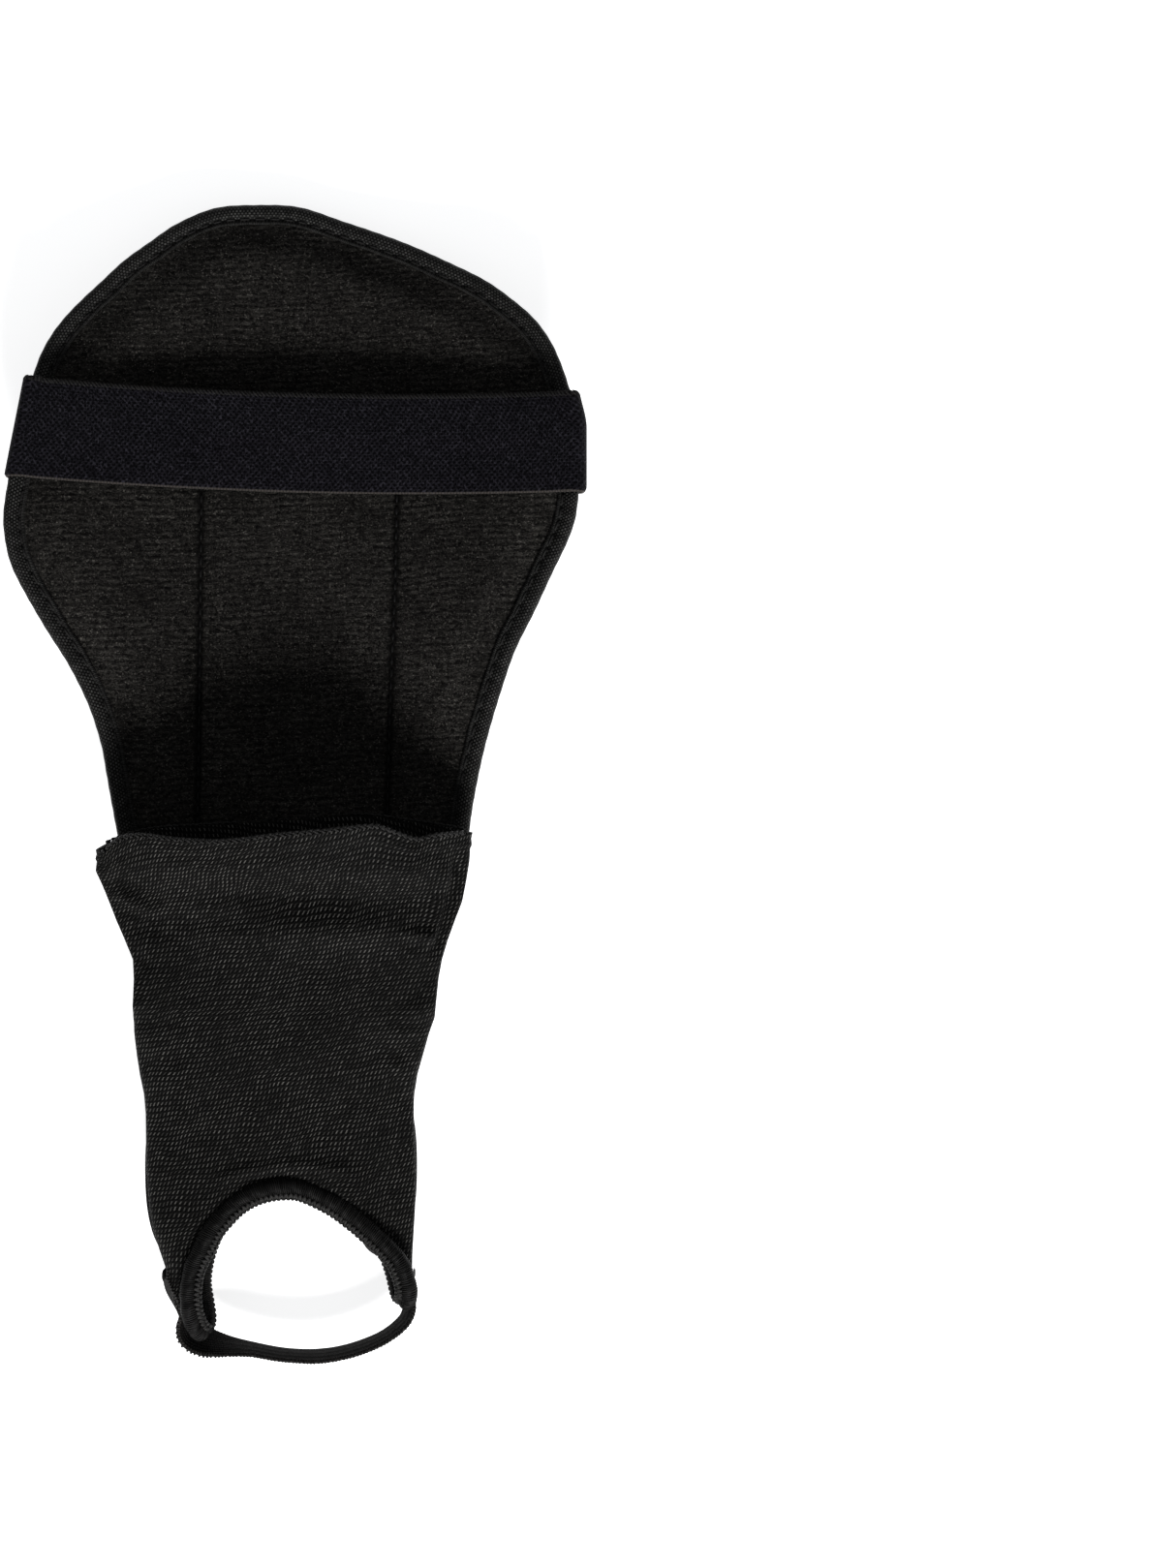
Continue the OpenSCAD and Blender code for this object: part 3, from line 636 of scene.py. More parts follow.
KNIT = mat_knit()
LINING = mat_lining()
TAPE = mat_tape()
ELASTIC = mat_elastic()
RIM = mat_rim()
RIBBED = mat_ribbed()
PLASTIC = mat_plastic()
FACE = mat_cloth("face_cloth_mat", 0.0040, 0.030)
HOOK = mat_pile("hook_tape_mat", 0.0025, 0.024, scale=1.3, rough=0.45, spec=0.4)
LOOP = mat_pile("loop_tape_mat", 0.0035, 0.026, scale=1.8)
FOAM = mat_foam()
SEAM_THREAD = mat_thread("seam_thread_mat", 0.0030, 0.019)
DARK_THREAD = mat_thread("dark_thread_mat", 0.0012, 0.0065)
PURL = mat_thread("purl_thread_mat", 0.0030, 0.034)
PICOT = mat_thread("picot_thread_mat", 0.0070, 0.030, rough=0.7, spec=0.06)


# ------------------------------------------------------------------ the trough and the outline
TAPER, APEX = 0.2, -550.0
CA = math.sqrt(1 - TAPER * TAPER)


def zc(x, y, t):
    """Height of the trough's face that lies t inside its outermost face."""
    x, y, t = np.broadcast_arrays(np.asarray(x, float), np.asarray(y, float), np.asarray(t, float))
    k = CA * CA - TAPER * TAPER
    q = (y - APEX - CA * t / TAPER) * CA * TAPER
    return t + (q - np.sqrt(np.maximum(q * q - k * CA * CA * x * x, 0))) / k


EDGE = [[-12, 149], [0, 148.5], [12, 144.5], [26, 139.5], [38, 134], [47.5, 129], [55, 123.5],
        [60.5, 118.5], [64.5, 113], [67, 108], [69, 102.5], [71, 95], [72, 87], [72.2, 78], [71.4, 68.5],
        [70, 63.5], [68, 59], [65.5, 54], [61, 44.5], [56, 34.5], [52.5, 24.5], [49.5, 14.5], [47, 5],
        [45, -5], [43.5, -15], [41.5, -25], [38.5, -34], [34, -43], [27, -50.5], [18, -55.5], [7, -58],
        [-5, -58], [-16, -55.5], [-25.5, -50.5], [-33, -43], [-38.5, -34], [-42.5, -25], [-45.5, -15],
        [-47.5, -5], [-48.8, 3], [-50, 10], [-53, 20], [-57.5, 29.5], [-63.5, 39.5], [-68.5, 48.5],
        [-71.5, 55], [-73, 61], [-73.6, 68], [-72.5, 77], [-71, 86], [-69, 95], [-66.8, 103],
        [-64.8, 109], [-62, 114.5], [-58.5, 119.5], [-54.5, 124], [-50, 128.5], [-44.5, 134], [-38, 139],
        [-31, 144], [-22, 148]]
RING, RING_LEN = respace(catmull(EDGE, 24, True), 1536, True)
_t = tangents(RING, True)
RING_IN = np.stack([_t[:, 1], -_t[:, 0]], -1)  # the outline runs clockwise, so this points inwards
RING_S = np.arange(len(RING)) / len(RING) * RING_LEN


def inside(x, y, poly):
    x, y = np.asarray(x, float), np.asarray(y, float)
    r = np.zeros(x.shape, bool)
    for (x0, y0), (x1, y1) in zip(poly, np.roll(poly, -1, 0)):
        hit = (y0 > y) != (y1 > y)
        if y0 != y1:
            r ^= hit & (x < (x1 - x0) * (y - y0) / (y1 - y0) + x0)
    return r


def edge_distance(x, y, line, closed=True):
    """Distance to a line of points, without a sign."""
    p = np.stack([x.ravel(), y.ravel()], -1)
    a = np.asarray(line, float)
    b = np.roll(a, -1, 0) if closed else a[1:]
    a = a if closed else a[:-1]
    ab = b - a
    L = np.maximum((ab**2).sum(-1), 1e-9)
    out = np.empty(len(p))
    for k in range(0, len(p), 4000):
        q = p[k : k + 4000, None]
        t = np.clip(((q - a) * ab).sum(-1) / L, 0, 1)
        out[k : k + 4000] = np.sqrt((((a + t[..., None] * ab) - q) ** 2).sum(-1)).min(1)
    return out.reshape(x.shape)


COARSE = RING[::4]


def board_depth(x, y):
    return edge_distance(x, y, COARSE) * np.where(inside(x, y, COARSE), 1, -1)


WAVES = [(k * math.cos(a), k * math.sin(a), p) for k, a, p in zip(rng.uniform(0.6, 1.6, 14), rng.uniform(0, 6.28, 14), rng.uniform(0, 6.28, 14))]


def wavy(x, y, size):
    """A gentle irregular wave from about -1 to 1, with features about size across."""
    k = 2 * math.pi / size / 1.1
    return sum(np.sin(x * a * k + y * b * k + p) for a, b, p in WAVES) / 4.2


def on_trough(P2, t):
    """Points (x, y) on the trough at depth t."""
    P2 = np.asarray(P2, float)
    return np.concatenate([P2, zc(P2[..., 0], P2[..., 1], t)[..., None]], -1)


def trough_up(P):
    """Direction out of the leg face at points on the trough."""
    e = 0.5
    gx = (zc(P[..., 0] + e, P[..., 1], 8.0) - zc(P[..., 0] - e, P[..., 1], 8.0)) / (2 * e)
    gy = (zc(P[..., 0], P[..., 1] + e, 8.0) - zc(P[..., 0], P[..., 1] - e, 8.0)) / (2 * e)
    return unit(np.stack([-gx, -gy, np.ones_like(gx)], -1))


# ------------------------------------------------------------------ board: foam, face cloth, lining
SEAM_L = [[-60, -26.2], [-12.5, -25.8], [30, -25.2], [74, -24.8], [96, -24.7]]
SEAM_R = [[-60, 21.9], [-12.5, 22.6], [27, 23.8], [52, 24.9], [74, 25.3], [96, 25.4]]


def seam_x(pts, y):
    p = np.array(pts, float)
    return np.interp(y, p[:, 0], p[:, 1])


step = 0.8
gx = np.arange(-75.2, 74.4, step)
gy = np.arange(-60, 150.6, step)
GX, GY = np.meshgrid(gx, gy, indexing="ij")
GD = board_depth(GX, GY)


def cells(mask):
    return mask[:-1, :-1] & mask[1:, :-1] & mask[:-1, 1:] & mask[1:, 1:]


def lining_top(x, y, d):
    t = 6.15 + 3.6 * smooth(4.7, 15.5, d)
    on = smooth(-46, -40, y) * smooth(98, 94, y)
    for pts in (SEAM_L, SEAM_R):
        dx = x - seam_x(pts, y)
        pull = 1 + 0.22 * np.cos(2 * math.pi * y / 3.2)
        t = t - on * smooth(6, 14, d) * (1.25 * np.exp(-((dx / 1.05) ** 2)) * pull + 0.85 * np.exp(-((dx / 5.5) ** 2)))
    centre = np.exp(-((x / 17.0) ** 4)) * 0.35
    t = t + (centre + 0.16 * wavy(x, y, 30.0) + 0.07 * wavy(x + 40, y, 9.0)) * smooth(5.5, 14, d)
    return t


T_TOP = lining_top(GX, GY, GD)
lining = grid_shell("lining_skin", GX, GY, cells(GD > 2.1), zc(GX, GY, T_TOP), zc(GX, GY, T_TOP - 0.75), [LINING])
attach(lining, "root")
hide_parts("inner_lining")

foam_t = np.minimum(T_TOP - 0.8, 9.0)
foam = grid_shell("foam_core", GX, GY, cells(GD > 1.3), zc(GX, GY, np.maximum(foam_t, 4.9)), zc(GX, GY, 4.05 + 0 * GX), [FOAM])
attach(foam, "root")
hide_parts("foam_pad")

f_out = 3.25 + 0.1 * wavy(GX, GY, 22.0) * smooth(3, 10, GD) + 0.1
for xs in (-25, 25):
    f_out = f_out + 0.5 * np.exp(-(((GX - xs) / 1.3) ** 2)) * smooth(-46, -42, GY) * smooth(98, 94, GY)
face = grid_shell("face_cloth_skin", GX, GY, cells(GD > 1.3), zc(GX, GY, f_out + 0.65), zc(GX, GY, f_out), [FACE])
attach(face, "root")
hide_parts("front_cover")

# channel seams: lockstitches sunk in the grooves, on the lining and on the front
for name, pts, xs in (("channel_seam_lateral", SEAM_L, -25), ("channel_seam_medial", SEAM_R, 25)):
    ys = np.arange(-43.5, 95.6, 3.2)
    A, B = [], []
    for y in ys:
        for y0, y1, top in ((y + 0.35, y + 2.95, True), (y + 0.35, y + 2.95, False)):
            row = []
            for yy in (y0, y1):
                if top:
                    x = float(seam_x(pts, yy))
                    d = board_depth(np.array([x]), np.array([yy]))
                    t = lining_top(np.array([x]), np.array([yy]), d)[0] + 0.02
                else:
                    x, t = xs, 3.72
                row.append([x, yy, float(zc(x, yy, t))])
            A.append(row[0])
            B.append(row[1])
    o = capsules("seam_thread_" + name[13:], A, B, 0.34, DARK_THREAD, "root", arch=0.12)
    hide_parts(name)

# ------------------------------------------------------------------ binding
SEC = np.array([[5.18, 6.24], [5.32, 6.5], [5.3, 6.78], [5.1, 6.9], [4.8, 6.88], [4.45, 6.76], [4.15, 6.6], [4.0, 6.56], [3.85, 6.6],
                [3.55, 6.78], [3.2, 6.98], [2.8, 7.12], [2.4, 7.18], [2.0, 7.17], [1.6, 7.08], [1.2, 6.9], [0.85, 6.64], [0.55, 6.28],
                [0.3, 5.8], [0.14, 5.25], [0.07, 4.65], [0.1, 4.05], [0.24, 3.5], [0.5, 3.05], [0.85, 2.78], [1.3, 2.62], [1.9, 2.54],
                [2.5, 2.52], [3.1, 2.56], [3.6, 2.66], [4.0, 2.8], [4.4, 2.66], [4.8, 2.56], [5.1, 2.6], [5.24, 2.8], [5.22, 3.2],
                [4.2, 3.2], [2.6, 3.2], [1.3, 3.2], [1.0, 3.9], [0.95, 4.7], [1.0, 5.6], [1.3, 6.2], [2.6, 6.22], [4.2, 6.22], [5.18, 6.24]])
n_out = 36
arc = np.concatenate([[0], np.cumsum(np.linalg.norm(np.diff(SEC, axis=0), axis=1))])
S = RING_S[:, None]
D = np.broadcast_to(SEC[None, :, 0], (len(RING), len(SEC))).copy()
Tt = np.broadcast_to(SEC[None, :, 1], D.shape).copy()
PITCH = 4.0
n_st = round(RING_LEN / PITCH)
pitch = RING_LEN / n_st
ph = (S / pitch) % 1.0
hole = np.exp(-((np.minimum(ph, 1 - ph) * pitch / 0.55) ** 2))
mid = np.cos(2 * math.pi * S / pitch)
top = (np.arange(len(SEC)) < 18)[None]
low = ((np.arange(len(SEC)) > 22) & (np.arange(len(SEC)) < n_out))[None]
near = np.exp(-(((D - 4.0) / 0.45) ** 2))
bulge = np.exp(-(((D - 2.3) / 1.3) ** 2))
wob = np.sin(S / 7.3 + 1.0) * 0.5 + np.sin(S / 3.1 + 2.0) * 0.25 + np.sin(S / 13.7) * 0.6
Tt += top * (-0.2 * hole * near - 0.07 * mid * bulge + 0.08 * wob * bulge)
Tt -= low * (-0.2 * hole * near - 0.07 * mid * bulge)
side_in = np.exp(-(((Tt - 4.8) / 1.6) ** 2)) * (D < 0.9)
D += 0.08 * wob + top * (D > 4.6) * 0.07 * np.sin(S / 1.9 + np.sin(S / 5.0)) + 0.03 * mid * side_in
BX = RING[:, None, 0] + D * RING_IN[:, None, 0]
BY = RING[:, None, 1] + D * RING_IN[:, None, 1]
BZ = zc(BX, BY, Tt)
BP = np.stack([BX, BY, BZ], -1)
BUV = np.stack(np.broadcast_arrays(S, 5.32 - arc[None]), -1)
BP = np.vstack([BP, BP[:1]])
BUV = np.vstack([BUV, BUV[:1] + [RING_LEN, 0]])
binding = build("binding_tape", [patch(BP, BUV)], TAPE, "root")
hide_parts("edge_binding")


def ring_at(s, d, t):
    s = np.asarray(s, float) % RING_LEN
    i = s / RING_LEN * len(RING)
    a = np.floor(i).astype(int) % len(RING)
    b = (a + 1) % len(RING)
    w = (i - np.floor(i))[:, None]
    p = RING[a] * (1 - w) + RING[b] * w
    n = unit(RING_IN[a] * (1 - w) + RING_IN[b] * w)
    q = p + d * n
    return np.stack([q[:, 0], q[:, 1], zc(q[:, 0], q[:, 1], t)], -1)


s0 = np.arange(n_st) * pitch
A = np.concatenate([ring_at(s0 + 0.5, 4.0, 6.66), ring_at(s0 + 0.5, 4.0, 2.68)])
B = np.concatenate([ring_at(s0 + pitch - 0.5, 4.0, 6.66), ring_at(s0 + pitch - 0.5, 4.0, 2.68)])
ups = np.concatenate([trough_up(A[:n_st]), -trough_up(A[n_st:])])
bst = capsules("binding_stitches", A, B, 0.27, SEAM_THREAD, "root", sides=8, arch=0.16, up=ups, rings=7)
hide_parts("binding_stitch")

# ------------------------------------------------------------------ strap
def strap_mid(x):
    """Height of the slack elastic's middle."""
    return 33 - 15.6 * max(0.0, 1 - (x / 71) ** 2) - 0.6


SW = 25.4
nv = 41
vv = np.linspace(-SW / 2, SW / 2, nv)
edge_z = np.array([[float(y), float(np.interp(-y, -RING[:700, 1], RING[:700, 0]))] for y in range(60, 116)])


def yc(x):
    return 87 + 0.000263 * x * x - 0.0273 * x


def strap_line(v, part):
    """Middle line of the elastic at v across its width. part is web or tail."""
    yr, yl = yc(72.0) + v, yc(-71.0) + v
    yb = 87.3 + v * 25 / SW
    xr = 73.3 - 1.9 * smooth(90, 101, yr) - 0.5 * smooth(11.3, 12.7, abs(v))
    xl = -73.35 + (yl - 75) * 0.196 + 0.3 * smooth(11.9, 12.7, abs(v))
    pts = []
    for x in np.linspace(36.6, 68, 22):
        w = smooth(56, 70, x)
        y = yb * (1 - w) + yr * w
        pts.append([x, y, zc(x, y, 0.3)])
    zt = float(zc(72.0, yr, 6.9))
    zb = float(zc(72.0, yr, 0.4))
    pts += [[xr - 2.2, yr, zb - 0.9], [xr - 0.9, yr, zb + 0.2], [xr - 0.15, yr, zb + 1.8], [xr, yr, (zb + zt) / 2], [xr - 0.02, yr, zt - 1.2],
            [xr - 0.4, yr, max(zt + 0.5, 30.6)], [xr - 1.5, yr, max(zt + 1.5, 31.9)], [xr - 3.6, yr, max(zt + 1.7, strap_mid(xr - 3.6) + 0.2)]]
    for x in np.linspace(65, -65, 46):
        pts.append([x, yc(x) + v, max(strap_mid(x), zc(abs(x), yc(x) + v, 6.9) + 0.7 if abs(x) > 62 else 0) + 0.18 * math.sin(x / 9.0 + v / 5) + 0.25 * math.sin(x / 21.0 + 1) * v / 12])
    ztl = float(zc(71.0, yl, 6.9))
    zbl = float(zc(71.0, yl, -1.9))
    pts += [[xl + 3.6, yl, max(ztl + 1.7, strap_mid(xl + 3.6) + 0.2)], [xl + 1.5, yl, max(ztl + 1.5, 31.9)], [xl + 0.4, yl, max(ztl + 0.5, 30.6)],
            [xl + 0.02, yl, ztl - 1.4], [xl, yl, (ztl + zbl) / 2], [xl + 0.25, yl, zbl + 2.0], [xl + 1.2, yl * 0.7 + yb * 0.3, zbl + 0.2]]
    web = len(pts)
    pts.append([xl + 2.8, yl * 0.55 + yb * 0.45, float(zc(-xl - 2.8, yb, -2.1))])
    for x in np.linspace(-67.5, -33.2, 24):
        w = smooth(-60, -70, x)
        y = yb * (1 - w) + yl * w * 0.5 + yb * w * 0.5
        pts.append([x, y, zc(x, y, -2.15)])
    f = catmull(np.array(pts), 6)
    k = (web - 1) * 6
    return f[: k + 1] if part == "web" else f[k:]


def strap_mesh(name, part, n, body, squeeze=False):
    lines = []
    for v in vv:
        L, total = respace(strap_line(v, part), n)
        lines.append(L)
    M = np.stack(lines, 1)  # along, across
    if squeeze:  # round corners at the tab's end
        c = M[:, nv // 2][:, None]
        x = M[..., 0]
        back = np.clip((x + 39.2) / 6.0, 0, 1)
        half = SW / 2 - 6.0 * (1 - np.sqrt(np.clip(1 - back**2, 0, 1)))
        off = (M[..., 1] - c[..., 1])
        M[..., 1] = c[..., 1] + np.clip(off, -half, half) * 0.999 + off * 0.001
        M[..., 2] = zc(M[..., 0], M[..., 1], -2.15) * (x > -66) + M[..., 2] * (x <= -66)
    du = np.gradient(M, axis=0)
    dv = np.gradient(M, axis=1)
    N = unit(np.cross(du, dv))
    e = (SW / 2 - np.abs(vv))
    h = 0.58 * np.sqrt(np.clip(1 - np.clip((0.55 - e) / 0.62, 0, 1) ** 2, 0.02, 1))
    s = np.concatenate([[0], np.cumsum(np.linalg.norm(np.diff(M[:, nv // 2], axis=0), axis=1))])
    rib = 0.02 * np.sin(s[:, None] * 2 * math.pi / 1.6)
    H = h[None] + rib
    UV = np.stack(np.broadcast_arrays(s[:, None], (vv + SW / 2)[None]), -1)
    o = build(name, slab(M + N * H[..., None], M - N * H[..., None], UV), ELASTIC, body)
    return o, M, N, s


web, WM, WN, Ws = strap_mesh("calf_strap_web", "web", 620, "root")
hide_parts("calf_strap")
tail, TM, TN, Ts = strap_mesh("strap_tail", "tail", 110, None, squeeze=True)
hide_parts("hook_tab")
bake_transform(tail)

# overlocked upper edge of the elastic: slanted threads over the edge
PA, PB, PU = [], [], []
SPAN_SIGN = 1.0 if WN[310, nv // 2, 2] > 0 else -1.0
sl = np.arange(2.0, Ws[-1] - 1, 1.0)
for s_ in sl:
    i = int(np.searchsorted(Ws, s_))
    j = min(i + 2, len(Ws) - 1)
    up = WN[i, -2] * SPAN_SIGN
    PA.append(WM[i, -3] + up * 0.55)
    PB.append(WM[j, -1] + up * 0.22 + (WM[j, -1] - WM[j, -2]) * 0.35)
    PU.append(up)
pic = capsules("strap_edge_picot", PA, PB, 0.24, PICOT, "root", sides=6, arch=0.12, up=np.array(PU))


# stitch rows on the strap's sewn end and on the tab
def stitch_rows(name, runs, t, body, mat, below=True, r=0.27, pitch=2.6, arch=0.12):
    A, B = [], []
    for (x0, y0), (x1, y1) in runs:
        L = math.hypot(x1 - x0, y1 - y0)
        n = max(int(L / pitch), 1)
        for k in range(n):
            a, b = (k + 0.12) / n, (k + 0.88) / n
            A.append(on_trough([x0 + (x1 - x0) * a, y0 + (y1 - y0) * a], t))
            B.append(on_trough([x0 + (x1 - x0) * b, y0 + (y1 - y0) * b], t))
    A, B = np.array(A), np.array(B)
    up = trough_up(A) * (-1 if below else 1)
    return capsules(name, A, B, r, mat, body, sides=6, arch=arch, up=up)


def box_runs(x0, x1, y0, y1, cross=True):
    runs = [((x0, y0), (x1, y0)), ((x1, y0), (x1, y1)), ((x1, y1), (x0, y1)), ((x0, y1), (x0, y0))]
    return runs + ([((x0, y0), (x1, y1)), ((x0, y1), (x1, y0))] if cross else [])


anchor = stitch_rows("anchor_threads", box_runs(39.3, 55.7, 77.6, 97.0), -0.3, "root", SEAM_THREAD)
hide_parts("strap_anchor_stitch")
tabst = stitch_rows("tab_threads", box_runs(-56.2, -38.3, 77.6, 97.0, False), -2.8, "pull_tab", SEAM_THREAD)
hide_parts("tab_stitch")


def tape_patch(name, x0, x1, y0, y1, t0, t1, mat, body, node, r=1.2, tufts=0.0):
    nx, ny = int((x1 - x0) / 0.55), int((y1 - y0) / 0.55)
    X, Y = np.meshgrid(np.linspace(x0, x1, nx), np.linspace(y0, y1, ny), indexing="ij")
    e = np.minimum(np.minimum(X - x0, x1 - X), np.minimum(Y - y0, y1 - Y))
    soft = 0.25 * (1 - np.clip(e / 0.8, 0, 1)) ** 2
    bump = tufts * (rng.random(X.shape) - 0.5)
    A = np.stack([X, Y, zc(X, Y, t0 + soft + bump)], -1)
    B = np.stack([X, Y, zc(X, Y, t1 - soft * 0.3)], -1)
    UV = np.stack([X, Y], -1)
    o = build(name, slab(A, B, UV), mat, body)
    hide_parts(node)
    return o


hookp = tape_patch("hook_pad", -57.5, -36.5, 76.3, 98.3, -0.55, -1.48, HOOK, "pull_tab", "hook_patch", tufts=0.16)
loopp = tape_patch("loop_pad", -59.5, -28, 70.8, 103.8, -0.2, 0.93, LOOP, "root", "loop_patch", tufts=0.2)
loopst = stitch_rows("loop_threads", box_runs(-57.6, -29.7, 72.3, 102.3, False), -0.25, "root", SEAM_THREAD)
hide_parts("loop_patch_stitch")

# ------------------------------------------------------------------ ankle sleeve
SIL = np.array([[-8, -49.6, 44.6], [-17.4, -50.3, 44.3], [-19.9, -50.5, 44.1], [-24.8, -48.8, 43.3], [-29.8, -47.1, 42.3], [-34.7, -45.4, 40.4],
                [-39.6, -43.4, 38.6], [-44.6, -41.4, 37.1], [-49.5, -41.2, 36.2], [-54.5, -41.4, 35.7], [-59.4, -41.7, 35.2], [-64.4, -41.4, 33.4],
                [-69.3, -40.9, 32], [-74.2, -40.2, 30.5], [-79.2, -39.2, 29.8], [-84.1, -38.8, 29.7], [-96.5, -38.7, 30.2], [-103.9, -38.3, 30.2],
                [-108.8, -37.8, 30], [-113.8, -37, 29.7], [-118.7, -35.5, 29.4], [-123.7, -33.8, 29.2], [-128.6, -32.6, 28.9], [-133.5, -31.6, 28.6],
                [-138.5, -29.6, 28]])[::-1]
ZTOP = np.array([[-8, 42.6], [-13, 41.6], [-19, 38.8], [-26, 34.4], [-33, 30.2], [-40, 27.6], [-47, 26.2], [-54, 25.2], [-60.5, 24.5], [-68, 23.4],
                 [-74, 22.4], [-80, 21.4], [-88, 20.6], [-97, 20], [-106, 19.6], [-114, 19.4], [-123.4, 19], [-131, 17.6], [-139, 14.5]])[::-1]
ZLOW = np.array([[-58.5, 0], [-62.7, 9.0], [-68, 7.2], [-74, 6.2], [-80, 5.7], [-88, 5.6], [-125, 5.6], [-131, 6.4], [-139, 8.6]])[::-1]


def table_at(T, y, col=1):
    return np.interp(y, T[:, 0], T[:, col])


# rim of the foot opening, once round: heel arch, medial lobe, instep arch, lateral lobe
RIM_PTS = [[-24.9, -140.2, 12.9], [-26.3, -138.2, 15.4], [-27.4, -134, 17.4], [-27.6, -128.8, 18], [-26.6, -123.2, 18.4], [-24.1, -118.1, 18.6],
           [-21.9, -113.7, 18.8], [-18.9, -110, 18.9], [-15.7, -106.8, 19], [-11.9, -104.4, 19], [-7.9, -103, 19.1], [-3.9, -102.4, 19.1],
           [0.2, -102.5, 19.1], [4.1, -103.8, 19], [10, -106.8, 18.9], [15.5, -110.9, 18.7], [18.5, -113.5, 18.6], [22.3, -117, 18.4],
           [26.2, -121.6, 17.9], [28.3, -127.2, 17.3], [28.5, -131, 15.8], [27.9, -132.5, 12.6], [27, -130.6, 9.4],
           [25.4, -124.4, 7.7], [22.9, -118.4, 7.5], [18.2, -112.4, 7.5], [12.4, -107.4, 7.5], [5, -103.2, 7.5], [-3, -101.6, 7.5],
           [-11, -103.4, 7.5], [-17.8, -108.2, 7.5], [-22.2, -113.8, 7.5], [-24.9, -120.6, 7.5], [-26, -127.6, 7.6], [-25.2, -133.4, 8], [-24.5, -137.2, 9.6]]
RIM_LINE, RIM_LEN = respace(catmull(RIM_PTS, 24, True), 480, True)
rim_up = int(np.argmin(np.linalg.norm(RIM_LINE[:, :2] - [27.9, -132.5], axis=1)))
HEEL = RIM_LINE[: rim_up + 1, :2]
TOE = RIM_LINE[rim_up:, :2][::-1]


def hole(line):
    return np.vstack([[[line[0, 0], -170]], line, [[line[-1, 0], -170]]])


def hem_shift(x, back):
    if back:
        px = [[-52, -17.5], [-48.6, -18.2], [-44, -14.3], [-38.4, -12.8], [-28, -13.9], [-17.7, -14.3], [-6, -13.0], [6.7, -11.8], [20.1, -10.6],
              [26, -12.4], [31.1, -14.0], [35.9, -12.8], [45, -12.4]]
    else:
        px = [[-52, -15.5], [-46, -13.6], [-36.5, -11.4], [-20, -10.4], [0, -9.2], [15.5, -8.0], [28, -9.4], [36.6, -10.6], [45, -12.2]]
    return curve_of(px, x)


ROWS = np.linspace(-12.5, -139.2, 159)
NB, NF = 112, 100


def half_ring(y, back, n):
    a = np.linspace(math.pi, 0, 400) if back else np.linspace(0, -math.pi, 400)
    xl, xr = table_at(SIL, y, 1), table_at(SIL, y, 2)
    hw, cx = (xr - xl) / 2, (xr + xl) / 2
    x = cx + hw * np.sign(np.cos(a)) * np.abs(np.cos(a)) ** 0.82
    zt = table_at(ZTOP, y)
    u = (x - cx) / hw
    over = smooth(-56, -63, y)
    lie = zc(x, y, 10.15)
    free = float(table_at(ZLOW, min(y, -60.5)))
    zb = lie * (1 - over) + free * over
    m = np.minimum(zt - 2.6, np.maximum(zb + 1.4, 19.0 * (1 - over) + (zt + free) / 2 * over))
    e = np.abs(np.sin(a)) ** 0.62
    if back:
        # the mouth stands open in the middle and comes down to its sides
        crown = zt - (1.2 * (1 - smooth(-45, -14, y)) + 9.5 * smooth(-45, -14, y)) * np.abs(u + 0.06) ** 2.8
        z = m + (crown - m) * e
    else:
        z = m + (np.minimum(zb, m - 0.8) - m) * e
    P = np.stack([x, np.full_like(x, y), z], -1)
    P, L = respace(P, n)
    return P, L


def relief(x, y):
    """Folds of the back layer, in mm outwards."""
    r = -3.8 * np.exp(-(((y + 28.6 + 0.03 * (x - 4) + 1.0 * np.cos(x / 16.0)) / 3.7) ** 2)) * np.exp(-(((x - 2) / 27.0) ** 2))
    r += 0.9 * np.exp(-(((y + 22.0) / 3.4) ** 2)) * np.exp(-(((x - 3) / 30.0) ** 2))
    r += 1.1 * np.exp(-(((y + 38.5) / 3.8) ** 2)) * np.exp(-(((x - 10) / 24.0) ** 2))
    r += -0.9 * np.exp(-(((y + 35.0) / 2.2) ** 2)) * np.exp(-(((x + 22) / 12.0) ** 2))

    def crease(x0, y0, x1, y1, w, h, bow=0.0):
        dx, dy = x1 - x0, y1 - y0
        L = math.hypot(dx, dy)
        a = ((x - x0) * dx + (y - y0) * dy) / L / L
        b = ((x - x0) * dy - (y - y0) * dx) / L + bow * (1 - (2 * a - 1) ** 2)
        return h * np.exp(-((b / w) ** 2)) * smooth(-0.12, 0.2, a) * smooth(1.12, 0.8, a)

    r += crease(41.5, -17.5, 35.2, -43, 1.5, -2.2, 1.2)
    r += crease(38.4, -20, 32.6, -43, 1.9, 1.1, 1.2)
    r += crease(26.5, -37.6, 36.5, -38.6, 1.1, 0.8)
    r += crease(27.5, -35.2, 36.5, -35.6, 1.2, -0.4)
    r += crease(27.5, -40.8, 35.5, -42.0, 1.3, -0.4)
    r += crease(-12, -98.4, 14, -98.8, 1.7, 0.9, 1.6)
    r += crease(-20, -101.0, -10, -97.6, 1.3, 0.6, 0.4)
    r += crease(26, -70, 29, -80, 1.6, 0.9)
    r += crease(-48, -24, -34, -31, 1.6, -1.0, 0.8)
    r += crease(-46, -31, -33, -35.5, 1.4, -0.9, -0.6)
    r += crease(-44, -36.5, -30, -39, 1.6, -0.8, 0.6)
    r += crease(-43, -41.5, -36, -47, 1.3, -0.7)
    r += crease(-47, -27.5, -36, -33, 1.5, 0.7, 0.4)
    r += crease(33, -52, 22, -58, 2.4, -0.5, 0.6)
    r += crease(32, -66, 18, -70, 2.6, -0.45)
    r += crease(-40, -72, -28, -69, 2.2, -0.5)
    r += 0.30 * wavy(x, y, 26.0) + 0.13 * wavy(x + 31, y - 12, 9.0)
    return r


